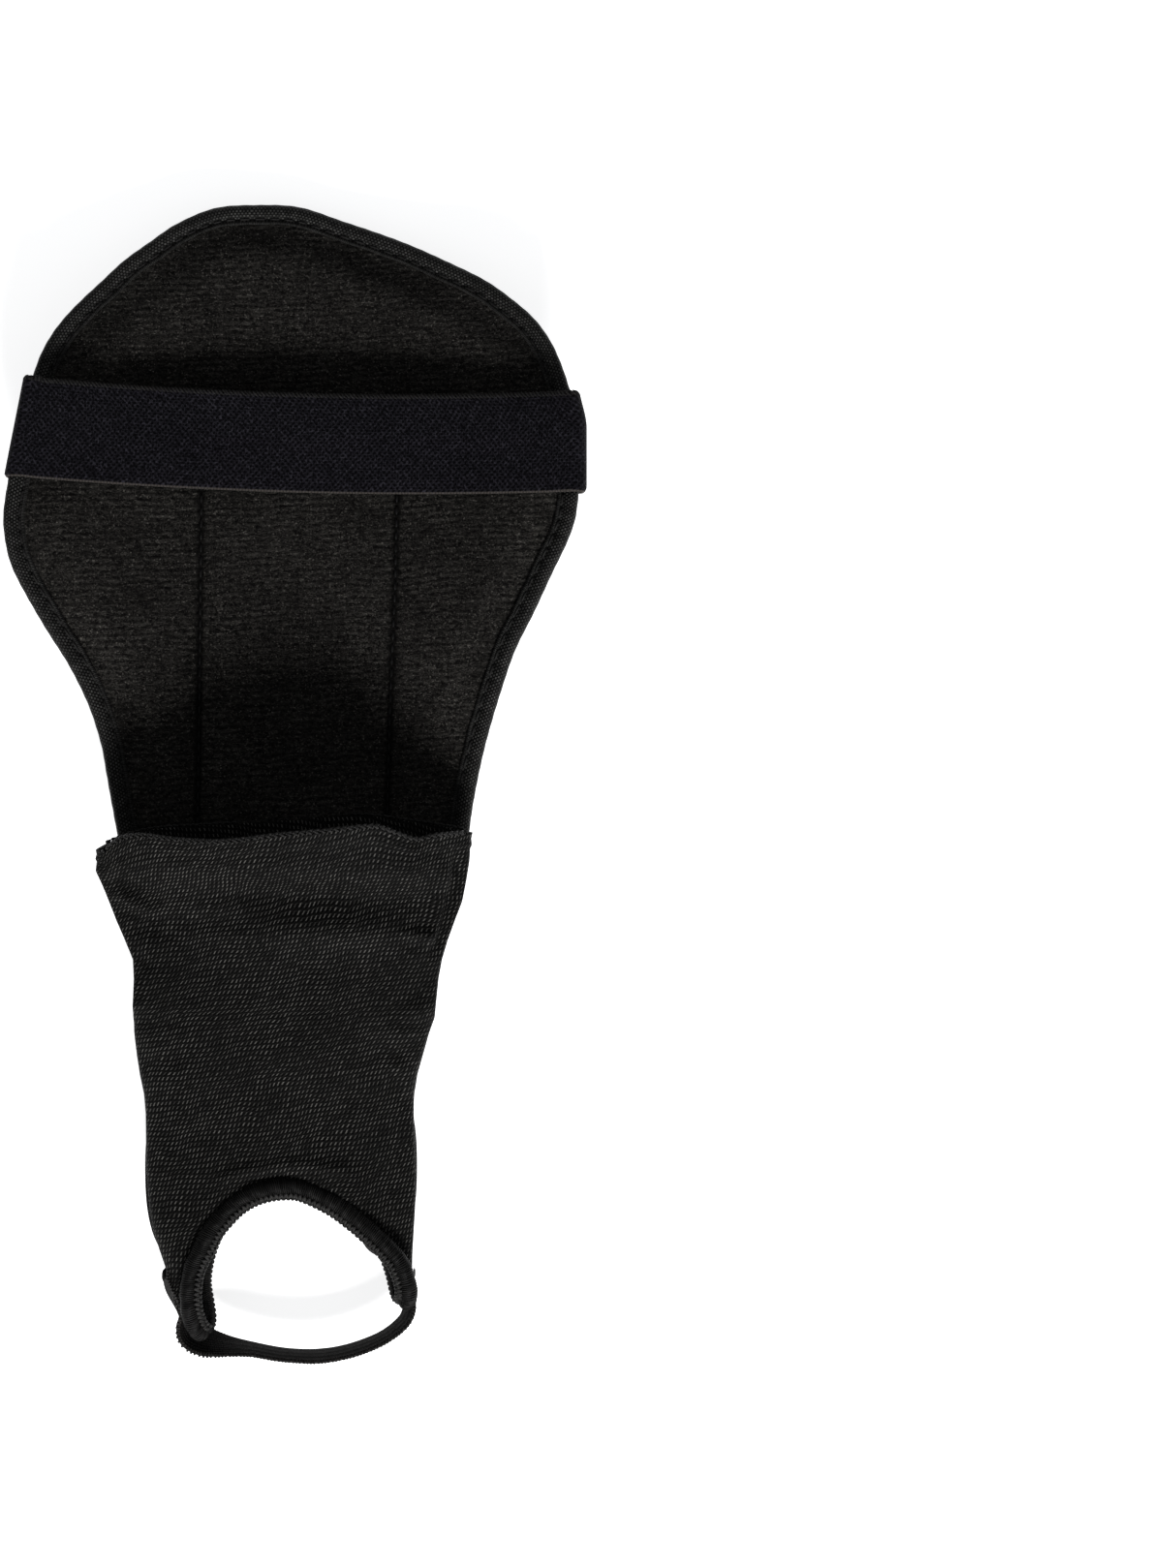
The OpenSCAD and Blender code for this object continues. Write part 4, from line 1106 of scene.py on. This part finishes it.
rows_b, rows_f, uv_b, uv_f = [], [], [], []
dist = 0.0
prev = None
for y in ROWS:
    B_, LB = half_ring(y, True, NB)
    F_, LF = half_ring(y, False, NF)
    c = B_[NB // 2]
    dist += 0 if prev is None else float(np.linalg.norm(c - prev))
    prev = c
    sb = np.linspace(0, LB, NB)
    sf = np.linspace(0, LF, NF)
    # cloth coordinates run on without a jump over both folds
    ub = sb - LB / 2
    uf = LB / 2 + sf
    rows_b.append(B_)
    rows_f.append(F_)
    uv_b.append(np.stack([ub, np.full(NB, dist)], -1))
    uv_f.append(np.stack([uf, np.full(NF, dist)], -1))
SB, SF = np.array(rows_b), np.array(rows_f)
UB, UF = np.array(uv_b), np.array(uv_f)
# shape of the hem, fading out over the first rows
fade = np.clip((np.interp(ROWS, [-40, -12.5], [0, 1])), 0, 1)[:, None] ** 2.2
sideb = smooth(0, 8, np.arange(NB))[None] * smooth(0, 8, NB - 1 - np.arange(NB))[None]
sb_ = hem_shift(SB[0, :, 0], True)
sf_ = hem_shift(SF[0, :, 0], False)
side_l, side_r = (sb_[0] + sf_[-1]) / 2, (sb_[-1] + sf_[0]) / 2
wb = np.exp(-np.arange(NB) / 5.0)
sb_ = sb_ + (side_l - sb_[0]) * wb + (side_r - sb_[-1]) * wb[::-1]
wf = np.exp(-np.arange(NF) / 5.0)
sf_ = sf_ + (side_r - sf_[0]) * wf + (side_l - sf_[-1]) * wf[::-1]
SB[..., 1] += (sb_ + 12.5)[None] * fade
SF[..., 1] += (sf_ + 12.5)[None] * fade
# the outer face turned into the mouth's lip sags a little between its high points
lipz = curve_of([[-50, 0], [-44, 0.5], [-38, 0.9], [-18, -0.7], [7, 0.3], [20, 1.0], [31, -1.6], [36, 0.2], [45, 0]], SB[0, :, 0])
SB[..., 2] += lipz[None] * fade * sideb
RB = relief(SB[..., 0], SB[..., 1]) * sideb
RF = (0.12 * wavy(SF[..., 0] + 9, SF[..., 1], 14.0))
RING3 = np.concatenate([SB, SF[:, 1:]], 1)  # closed: last column is the first
REL = np.concatenate([RB, RF[:, 1:]], 1)
RUV = np.concatenate([UB, UF[:, 1:]], 1)
RING3[:, -1] = RING3[:, 0]
REL[:, -1] = REL[:, 0]


def ring_normals(G):
    w = np.concatenate([G[:, -2:-1], G, G[:, 1:2]], 1)
    du = (w[:, 2:] - w[:, :-2])
    dv = np.gradient(G, axis=0)
    n = unit(np.cross(dv, du))
    n[:, -1] = n[:, 0]
    return n


RN = ring_normals(RING3)
if (RN[40, NB // 2, 2]) < 0:
    RN = -RN
back = np.zeros(RING3.shape[:2])
back[:, :NB] = 1
OUT = RING3 + RN * REL[..., None]
# hem: a doubled band with courses along it
hem_w = (RUV[..., 1] - RUV[0, 0, 1])
band = smooth(3.9, 3.3, hem_w)
OUT = OUT + RN * (band * (0.35 + 0.16 * np.cos(hem_w * 2 * math.pi / 1.15)))[..., None]
INN = RING3 + RN * REL[..., None] - RN * (1.15 + 0.25 * band)[..., None]


def clip_shell(name, A, B, UV, keep, mat):
    """Closed skin between two grids of points, only where keep holds."""
    a, b = A.shape[:2]
    idx = np.arange(a * b).reshape(a, b)
    n = a * b
    q = np.stack([idx[:-1, :-1], idx[:-1, 1:], idx[1:, 1:], idx[1:, :-1]], -1)
    cell = q[keep]
    faces = [cell, cell[:, ::-1] + n]
    pad = np.zeros((keep.shape[0] + 2, keep.shape[1] + 2), bool)
    pad[1:-1, 1:-1] = keep
    pad[:, 0] = pad[:, -2]
    pad[:, -1] = pad[:, 1]
    for (di, dj), (c0, c1) in {(-1, 0): (0, 1), (0, 1): (1, 2), (1, 0): (2, 3), (0, -1): (3, 0)}.items():
        near_ = pad[1 + di : 1 + di + keep.shape[0], 1 + dj : 1 + dj + keep.shape[1]]
        e = q[keep & ~near_]
        faces.append(np.stack([e[:, c1], e[:, c0], e[:, c0] + n, e[:, c1] + n], -1))
    faces = np.concatenate(faces)
    V = np.concatenate([A.reshape(-1, 3), B.reshape(-1, 3)])
    U = np.concatenate([UV.reshape(-1, 2), UV.reshape(-1, 2)])
    used = np.unique(faces)
    new = np.full(len(V), -1)
    new[used] = np.arange(len(used))
    uv = U[faces.ravel()]
    o = raw_object(name, V[used], new[faces], uv, [mat], np.zeros(len(faces)))
    bm = bmesh.new()
    bm.from_mesh(o.data)
    bmesh.ops.remove_doubles(bm, verts=bm.verts, dist=2e-6)
    bmesh.ops.recalc_face_normals(bm, faces=bm.faces)
    bm.to_mesh(o.data)
    bm.free()
    return o


CX, CY = OUT[..., 0], OUT[..., 1]
gone_b = inside(CX, CY, hole(HEEL)) & (back > 0.5)
gone_f = inside(CX, CY, hole(TOE)) & (back < 0.5)
lobe_end = CY < np.where(CX < 0, -137.4, -134.4)
gone = gone_b | gone_f | lobe_end
keep = ~(gone[:-1, :-1] | gone[1:, :-1] | gone[:-1, 1:] | gone[1:, 1:])
# columns at the folds belong to both layers
sleeve = clip_shell("ankle_sleeve_knit", OUT, INN, RUV, keep, KNIT)
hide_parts("sleeve_upper", "sleeve_top_hem", "sleeve_lower")
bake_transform(sleeve)

# chain of loops along the hem, on the lip of the back layer and on the panel behind it
CHA, CHB, CHU = [], [], []
edge_line = OUT[0].copy()
edge_norm = RN[0]
E2, el = respace(np.vstack([edge_line]), int(190 / 1.5))
for k in range(len(E2) - 1):
    i = int(np.argmin(np.linalg.norm(edge_line - E2[k], axis=1)))
    n = edge_norm[i]
    out_ = np.array([0, 1.0, 0])
    d = E2[k + 1] - E2[k]
    CHA.append(E2[k] + out_ * 0.15 + n * 0.1)
    CHB.append(E2[k] + d * 1.15 + out_ * 0.55 + n * -0.35)
    CHU.append(n)
    CHA.append(E2[k] + d * 0.1 + out_ * 0.5 - n * 0.3)
    CHB.append(E2[k] + d * 0.9 - out_ * 0.35 + n * 0.35)
    CHU.append(n)
KEEP = [k for k in range(len(CHA)) if -48.6 < CHA[k][0] < 43.4 and -48.6 < CHB[k][0] < 43.4]
CHA, CHB, CHU = ([c[k] for k in KEEP] for c in (CHA, CHB, CHU))
hemch = capsules("hem_chain", CHA, CHB, 0.36, PURL, "root", sides=6, arch=0.15, up=np.array(CHU))

# ------------------------------------------------------------------ rim
pitch_w = 0.56
n_w = round(RIM_LEN / pitch_w)
per = 6
RL, _ = respace(catmull(RIM_PTS, 24, True), n_w * per, True)
kk = np.arange(n_w * per)
sides = 18
aa = np.arange(sides + 1) / sides * 2 * math.pi
ph = (kk[:, None] / per + 0.16 * np.sin(aa)[None] * 1.0) % 1.0
groove = np.abs(np.sin(math.pi * ph)) ** 0.6
rr = 1.98 + 0.22 * groove + 0.10 * np.sin(kk / 37.0)[:, None] + 0.06 * np.sin(kk / 11.0 + 1)[:, None]
thick = rng.uniform(-0.06, 0.06, n_w)
rr = rr + np.repeat(thick, per)[:, None]
rr[:, -1] = rr[:, 0]
RG, RUVm = tube(RL, rr, sides, closed=True, up=(0, 0, 1))
rim = build("rim_roll", [patch(RG, RUVm)], RIM, "ankle_cuff")
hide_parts("ankle_rim")

# purl loops on the side of the hole
n_p = round(RIM_LEN / 1.4)
PLN, _ = respace(catmull(RIM_PTS, 24, True), n_p, True)
PT = tangents(PLN, True)
cen = np.array([1.0, -128.0, 12.4])
OUTW = PLN - cen
OUTW = unit(OUTW - (OUTW * PT).sum(-1, keepdims=True) * PT)
# in plan the loops lie on the hole's side
flat_in = np.stack([-OUTW[:, 0], -OUTW[:, 1], np.zeros(n_p)], -1)
flat_in = unit(flat_in + 1e-6)
upw = np.where(PLN[:, 2:3] > 12.4, 1.0, -1.0) * np.array([[0, 0, 1.0]])
A, B, U = [], [], []
for k in range(n_p):
    p, t, i_, u_ = PLN[k], PT[k], flat_in[k], upw[k]
    nxt = PLN[(k + 1) % n_p]
    A.append(p + i_ * 1.35 + u_ * 1.35 - t * 0.15)
    B.append(p + i_ * 3.15 + u_ * 0.55 + t * 0.62)
    U.append(u_)
    A.append(p + i_ * 3.15 + u_ * 0.5 + t * 0.7)
    B.append(nxt + i_ * 1.5 + u_ * 1.2 + t * 0.1)
    U.append(u_)
    A.append(p + i_ * 3.22 + u_ * 0.35)
    B.append(nxt + flat_in[(k + 1) % n_p] * 3.22 + u_ * 0.35)
    U.append(u_)
purl = capsules("rim_purl", A, B, 0.44, PURL, "ankle_cuff", sides=6, arch=0.2, up=np.array(U))

# the edge the loops are worked over
CL, _ = respace(catmull(RIM_PTS, 24, True), 420, True)
CT = tangents(CL, True)
CW = CL - cen
CW = unit(CW - (CW * CT).sum(-1, keepdims=True) * CT)
CIN = unit(np.stack([-CW[:, 0], -CW[:, 1], np.zeros(len(CL))], -1) + 1e-6)
CG, CUV = tube(CL + CIN * 2.15, np.full((420, 13), 1.12) + 0.08 * np.sin(np.arange(420) / 5.0)[:, None], 12, closed=True, up=(0, 0, 1))
core = build("rim_edge", [patch(CG, CUV)], RIM, "ankle_cuff")

# ------------------------------------------------------------------ elastic under the foot
ST = [[-33.0, -123.4, 0], [-33.8, -126.4, -0.16], [-33.0, -129.6, -0.24], [-31.3, -132.8, -0.24], [-30.2, -136, -0.08], [-29.3, -138.6, 0.32],
      [-27.5, -141.2, 0.68], [-24.4, -142.8, 0.74], [-21.5, -143.6, 0.58], [-17.3, -144.3, 0.36], [-11.7, -145.05, 0.21], [-5.5, -146.2, 0.19],
      [-0.3, -146.7, 0.19], [5, -146.75, 0.21], [10.5, -146.0, 0.21], [16.2, -144.4, 0.22], [22, -141.8, 0.22], [26.7, -138.1, 0.25], [28.5, -134.6, 0.27],
      [29.1, -130.8, 0.12], [28.9, -127.6, 0.03], [28.6, -124.8, 0]]
ST = catmull(ST, 12)
SP, s_len = respace(ST, 330)
T2 = unit(np.gradient(SP[:, :2], axis=0))
OUT2 = np.stack([T2[:, 1], -T2[:, 0]], -1)  # away from the foot
wv = np.linspace(-5, 5, 27)
lean = SP[:, 2]
sag = 0.25 * np.sin(np.linspace(0, 9, len(SP)))
zmid = 9.6 - 0.6 * np.sin(np.linspace(0, math.pi, len(SP))) ** 2
C = SP[:, None, :2] + OUT2[:, None] * (wv[None, :, None] * np.sin(lean)[:, None, None]) - OUT2[:, None] * (0.18 * np.cos(wv / 5 * 1.4))[None, :, None]
Z = zmid[:, None] + wv[None] * np.cos(lean)[:, None]
M = np.concatenate([C, Z[..., None]], -1)
N = unit(np.cross(np.gradient(M, axis=0), np.gradient(M, axis=1)))
e = 5 - np.abs(wv)
h = 0.5 * np.sqrt(np.clip(1 - np.clip((0.45 - e) / 0.5, 0, 1) ** 2, 0.03, 1)) + 0.07 * np.cos(wv * 2 * math.pi / 0.9)
srun = np.linspace(0, s_len, len(SP))
UV = np.stack(np.broadcast_arrays(srun[:, None], (wv + 5)[None]), -1)
stir = build("stirrup_elastic", slab(M + N * h[None, :, None], M - N * h[None, :, None], UV), RIBBED, "stirrup")
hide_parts("foot_strap")
# dotted picot along both edges
sp_ = np.arange(0.6, s_len - 0.6, 0.9)
ii = np.searchsorted(srun, sp_)
A, B, U = [], [], []
for i in ii:
    for j, sgn in ((0, -1), (-1, 1)):
        p = M[i, j]
        n = N[i, j]
        w_ = unit(M[i, j] - M[i, j - sgn * 2]) if j == -1 else unit(M[i, 0] - M[i, 2])
        A.append(p + n * 0.45 - w_ * 0.5)
        B.append(p - n * 0.45 - w_ * 0.15)
        U.append(w_)
picot2 = capsules("stirrup_picot", A, B, 0.33, PURL, "stirrup", sides=6, arch=0.5, up=np.array(U))

# bar tacks: close zigzag threads across the elastic's ends
for name, xs, sg in (("bartack_lateral", -34.25, -1), ("bartack_medial", 29.5, 1)):
    A, B = [], []
    for k in range(11):
        z = 5.6 + k * 0.78
        A.append([xs + sg * 0.1, -127.0, z])
        B.append([xs + sg * 0.1, -124.2, z + 0.39])
        A.append([xs + sg * 0.1, -124.2, z + 0.39])
        B.append([xs + sg * 0.1, -127.0, z + 0.78])
    o = capsules("threads_" + name, A, B, 0.24, SEAM_THREAD, "ankle_cuff", sides=6, arch=0.1, up=(sg, 0, 0))
    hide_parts(name)


# ------------------------------------------------------------------ ankle bone pads
S_MM = 1000.0 if max(abs(v.co.y) for v in sleeve.data.vertices) < 1 else 1.0
UNDER = BVHTree.FromPolygons([v.co.copy() for v in sleeve.data.vertices], [tuple(p.vertices) for p in sleeve.data.polygons])


def sleeve_under(X, Y):
    """Height of the sleeve's underside over each point, mm."""
    Z = np.full(X.shape, 10.0)
    for i in np.ndindex(X.shape):
        hit = UNDER.ray_cast((X[i] / S_MM, Y[i] / S_MM, -5.0 / S_MM), (0, 0, 1))
        if hit[0] is not None:
            Z[i] = min(10.0, hit[0].z * S_MM)
    return Z


def dome(name, c, a, b, z0, z1, mat, node, crown=0.9, quilt=0.0, lean=0.0):
    """An oval cushion: crowned below and above, drawn in round its edge."""
    nr, na = 22, 72
    r = np.linspace(0, 1, nr)
    th = np.arange(na + 1) / na * 2 * math.pi
    R, TH = np.meshgrid(r, th, indexing="ij")
    ex = 2.4
    cs, sn = np.cos(TH), np.sin(TH)
    k = (np.abs(cs) ** ex + np.abs(sn) ** ex) ** (-1 / ex)
    rho = np.sin(R * math.pi / 2)
    X, Y = c[0] + a * k * cs * rho, c[1] + b * k * sn * rho
    hgt = np.cos(R * math.pi / 2) ** 0.45
    zm = (z0 + z1) / 2
    q = quilt * np.exp(-(((rho - 0.74) / 0.05) ** 2)) + 0.05 * np.sin(X * 1.7) * np.sin(Y * 1.3) * hgt
    zs = sleeve_under(X, Y)
    top_ = zs + (z1 - 5.5) - 0.25 * (1 - hgt)
    bot_ = top_ - 0.5 - (z1 - z0 - 0.5) * hgt + q * np.minimum(1, hgt * 2)
    bot_ = np.maximum(bot_, z0)
    top_ = np.maximum(top_, bot_ + 0.3)
    bot_ = np.where(R > 0.999, top_ - 0.001, bot_)
    A = np.stack([X, Y, top_], -1)
    B = np.stack([X, Y, bot_], -1)
    for G in (A, B):
        G[:, -1] = G[:, 0]
    UV = np.stack([X, Y], -1)
    o = build(name, [patch(A, UV), patch(B, UV)], mat, "ankle_cuff")
    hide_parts(node)
    return o


dome("pad_foam_lateral", (-29.4, -99), 7.6, 22, 1.0, 4.4, FOAM, "ankle_pad_lateral")
dome("pad_foam_medial", (21.8, -98), 7.6, 22, 1.0, 4.4, FOAM, "ankle_pad_medial")
dome("pad_shell_lateral", (-29.9, -99), 9.4, 23, 0.0, 5.35, FACE, "pad_cover_lateral", quilt=0.5)
dome("pad_shell_medial", (21.8, -98), 8.6, 23, 0.0, 5.35, FACE, "pad_cover_medial", quilt=0.5)

# ------------------------------------------------------------------ hard shell keeps its CAD shape
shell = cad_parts["front_shell"]
shell.data.materials.clear()
shell.data.materials.append(PLASTIC)

# ------------------------------------------------------------------ floor, light, camera
me = bpy.data.meshes.new("floor")
me.from_pydata([(-3, -3, -0.0006), (3, -3, -0.0006), (3, 3, -0.0006), (-3, 3, -0.0006)], [], [(0, 1, 2, 3)])
floor = bpy.data.objects.new("floor", me)
bpy.context.scene.collection.objects.link(floor)
fm = bpy.data.materials.new("floor_mat")
fm.use_nodes = True
fb = fm.node_tree.nodes["Principled BSDF"]
fb.inputs["Base Color"].default_value = (0.9, 0.9, 0.9, 1)
fb.inputs["Roughness"].default_value = 0.9
fb.inputs["Specular IOR Level"].default_value = 0.1
fb.inputs["Emission Color"].default_value = (1, 1, 1, 1)
fb.inputs["Emission Strength"].default_value = 0.75
me.materials.append(fm)


def area_light(name, loc, size, power, aim=(0, 0, 0.01)):
    d = bpy.data.lights.new(name, "AREA")
    d.shape = "RECTANGLE"
    d.size, d.size_y = size
    d.energy = power
    o = bpy.data.objects.new(name, d)
    o.location = loc
    v = np.array(aim) - np.array(loc)
    import mathutils
    o.rotation_euler = mathutils.Vector(v).to_track_quat("-Z", "Y").to_euler()
    bpy.context.scene.collection.objects.link(o)
    return o


area_light("key_light", (0.2, -1.156, 0.77), (0.36, 0.36), 31)

w = bpy.data.worlds.new("world") if bpy.context.scene.world is None else bpy.context.scene.world
bpy.context.scene.world = w
w.use_nodes = True
bg = w.node_tree.nodes.get("Background") or w.node_tree.nodes.new("ShaderNodeBackground")
bg.inputs[0].default_value = (0.95, 0.97, 1.0, 1)
bg.inputs[1].default_value = 0.30

cam = bpy.data.cameras.new("camera")
cam.lens = 120.07
cam.sensor_width = 36
cam.sensor_fit = "AUTO"
cam.clip_start = 0.05
co = bpy.data.objects.new("camera", cam)
co.location = (0.0742, 0.0, 1.350)
co.rotation_euler = (0, 0, 0)
bpy.context.scene.collection.objects.link(co)
bpy.context.scene.camera = co
bpy.context.scene.view_settings.view_transform = "Standard"
bpy.context.scene.view_settings.look = "None"

bpy.context.view_layer.update()
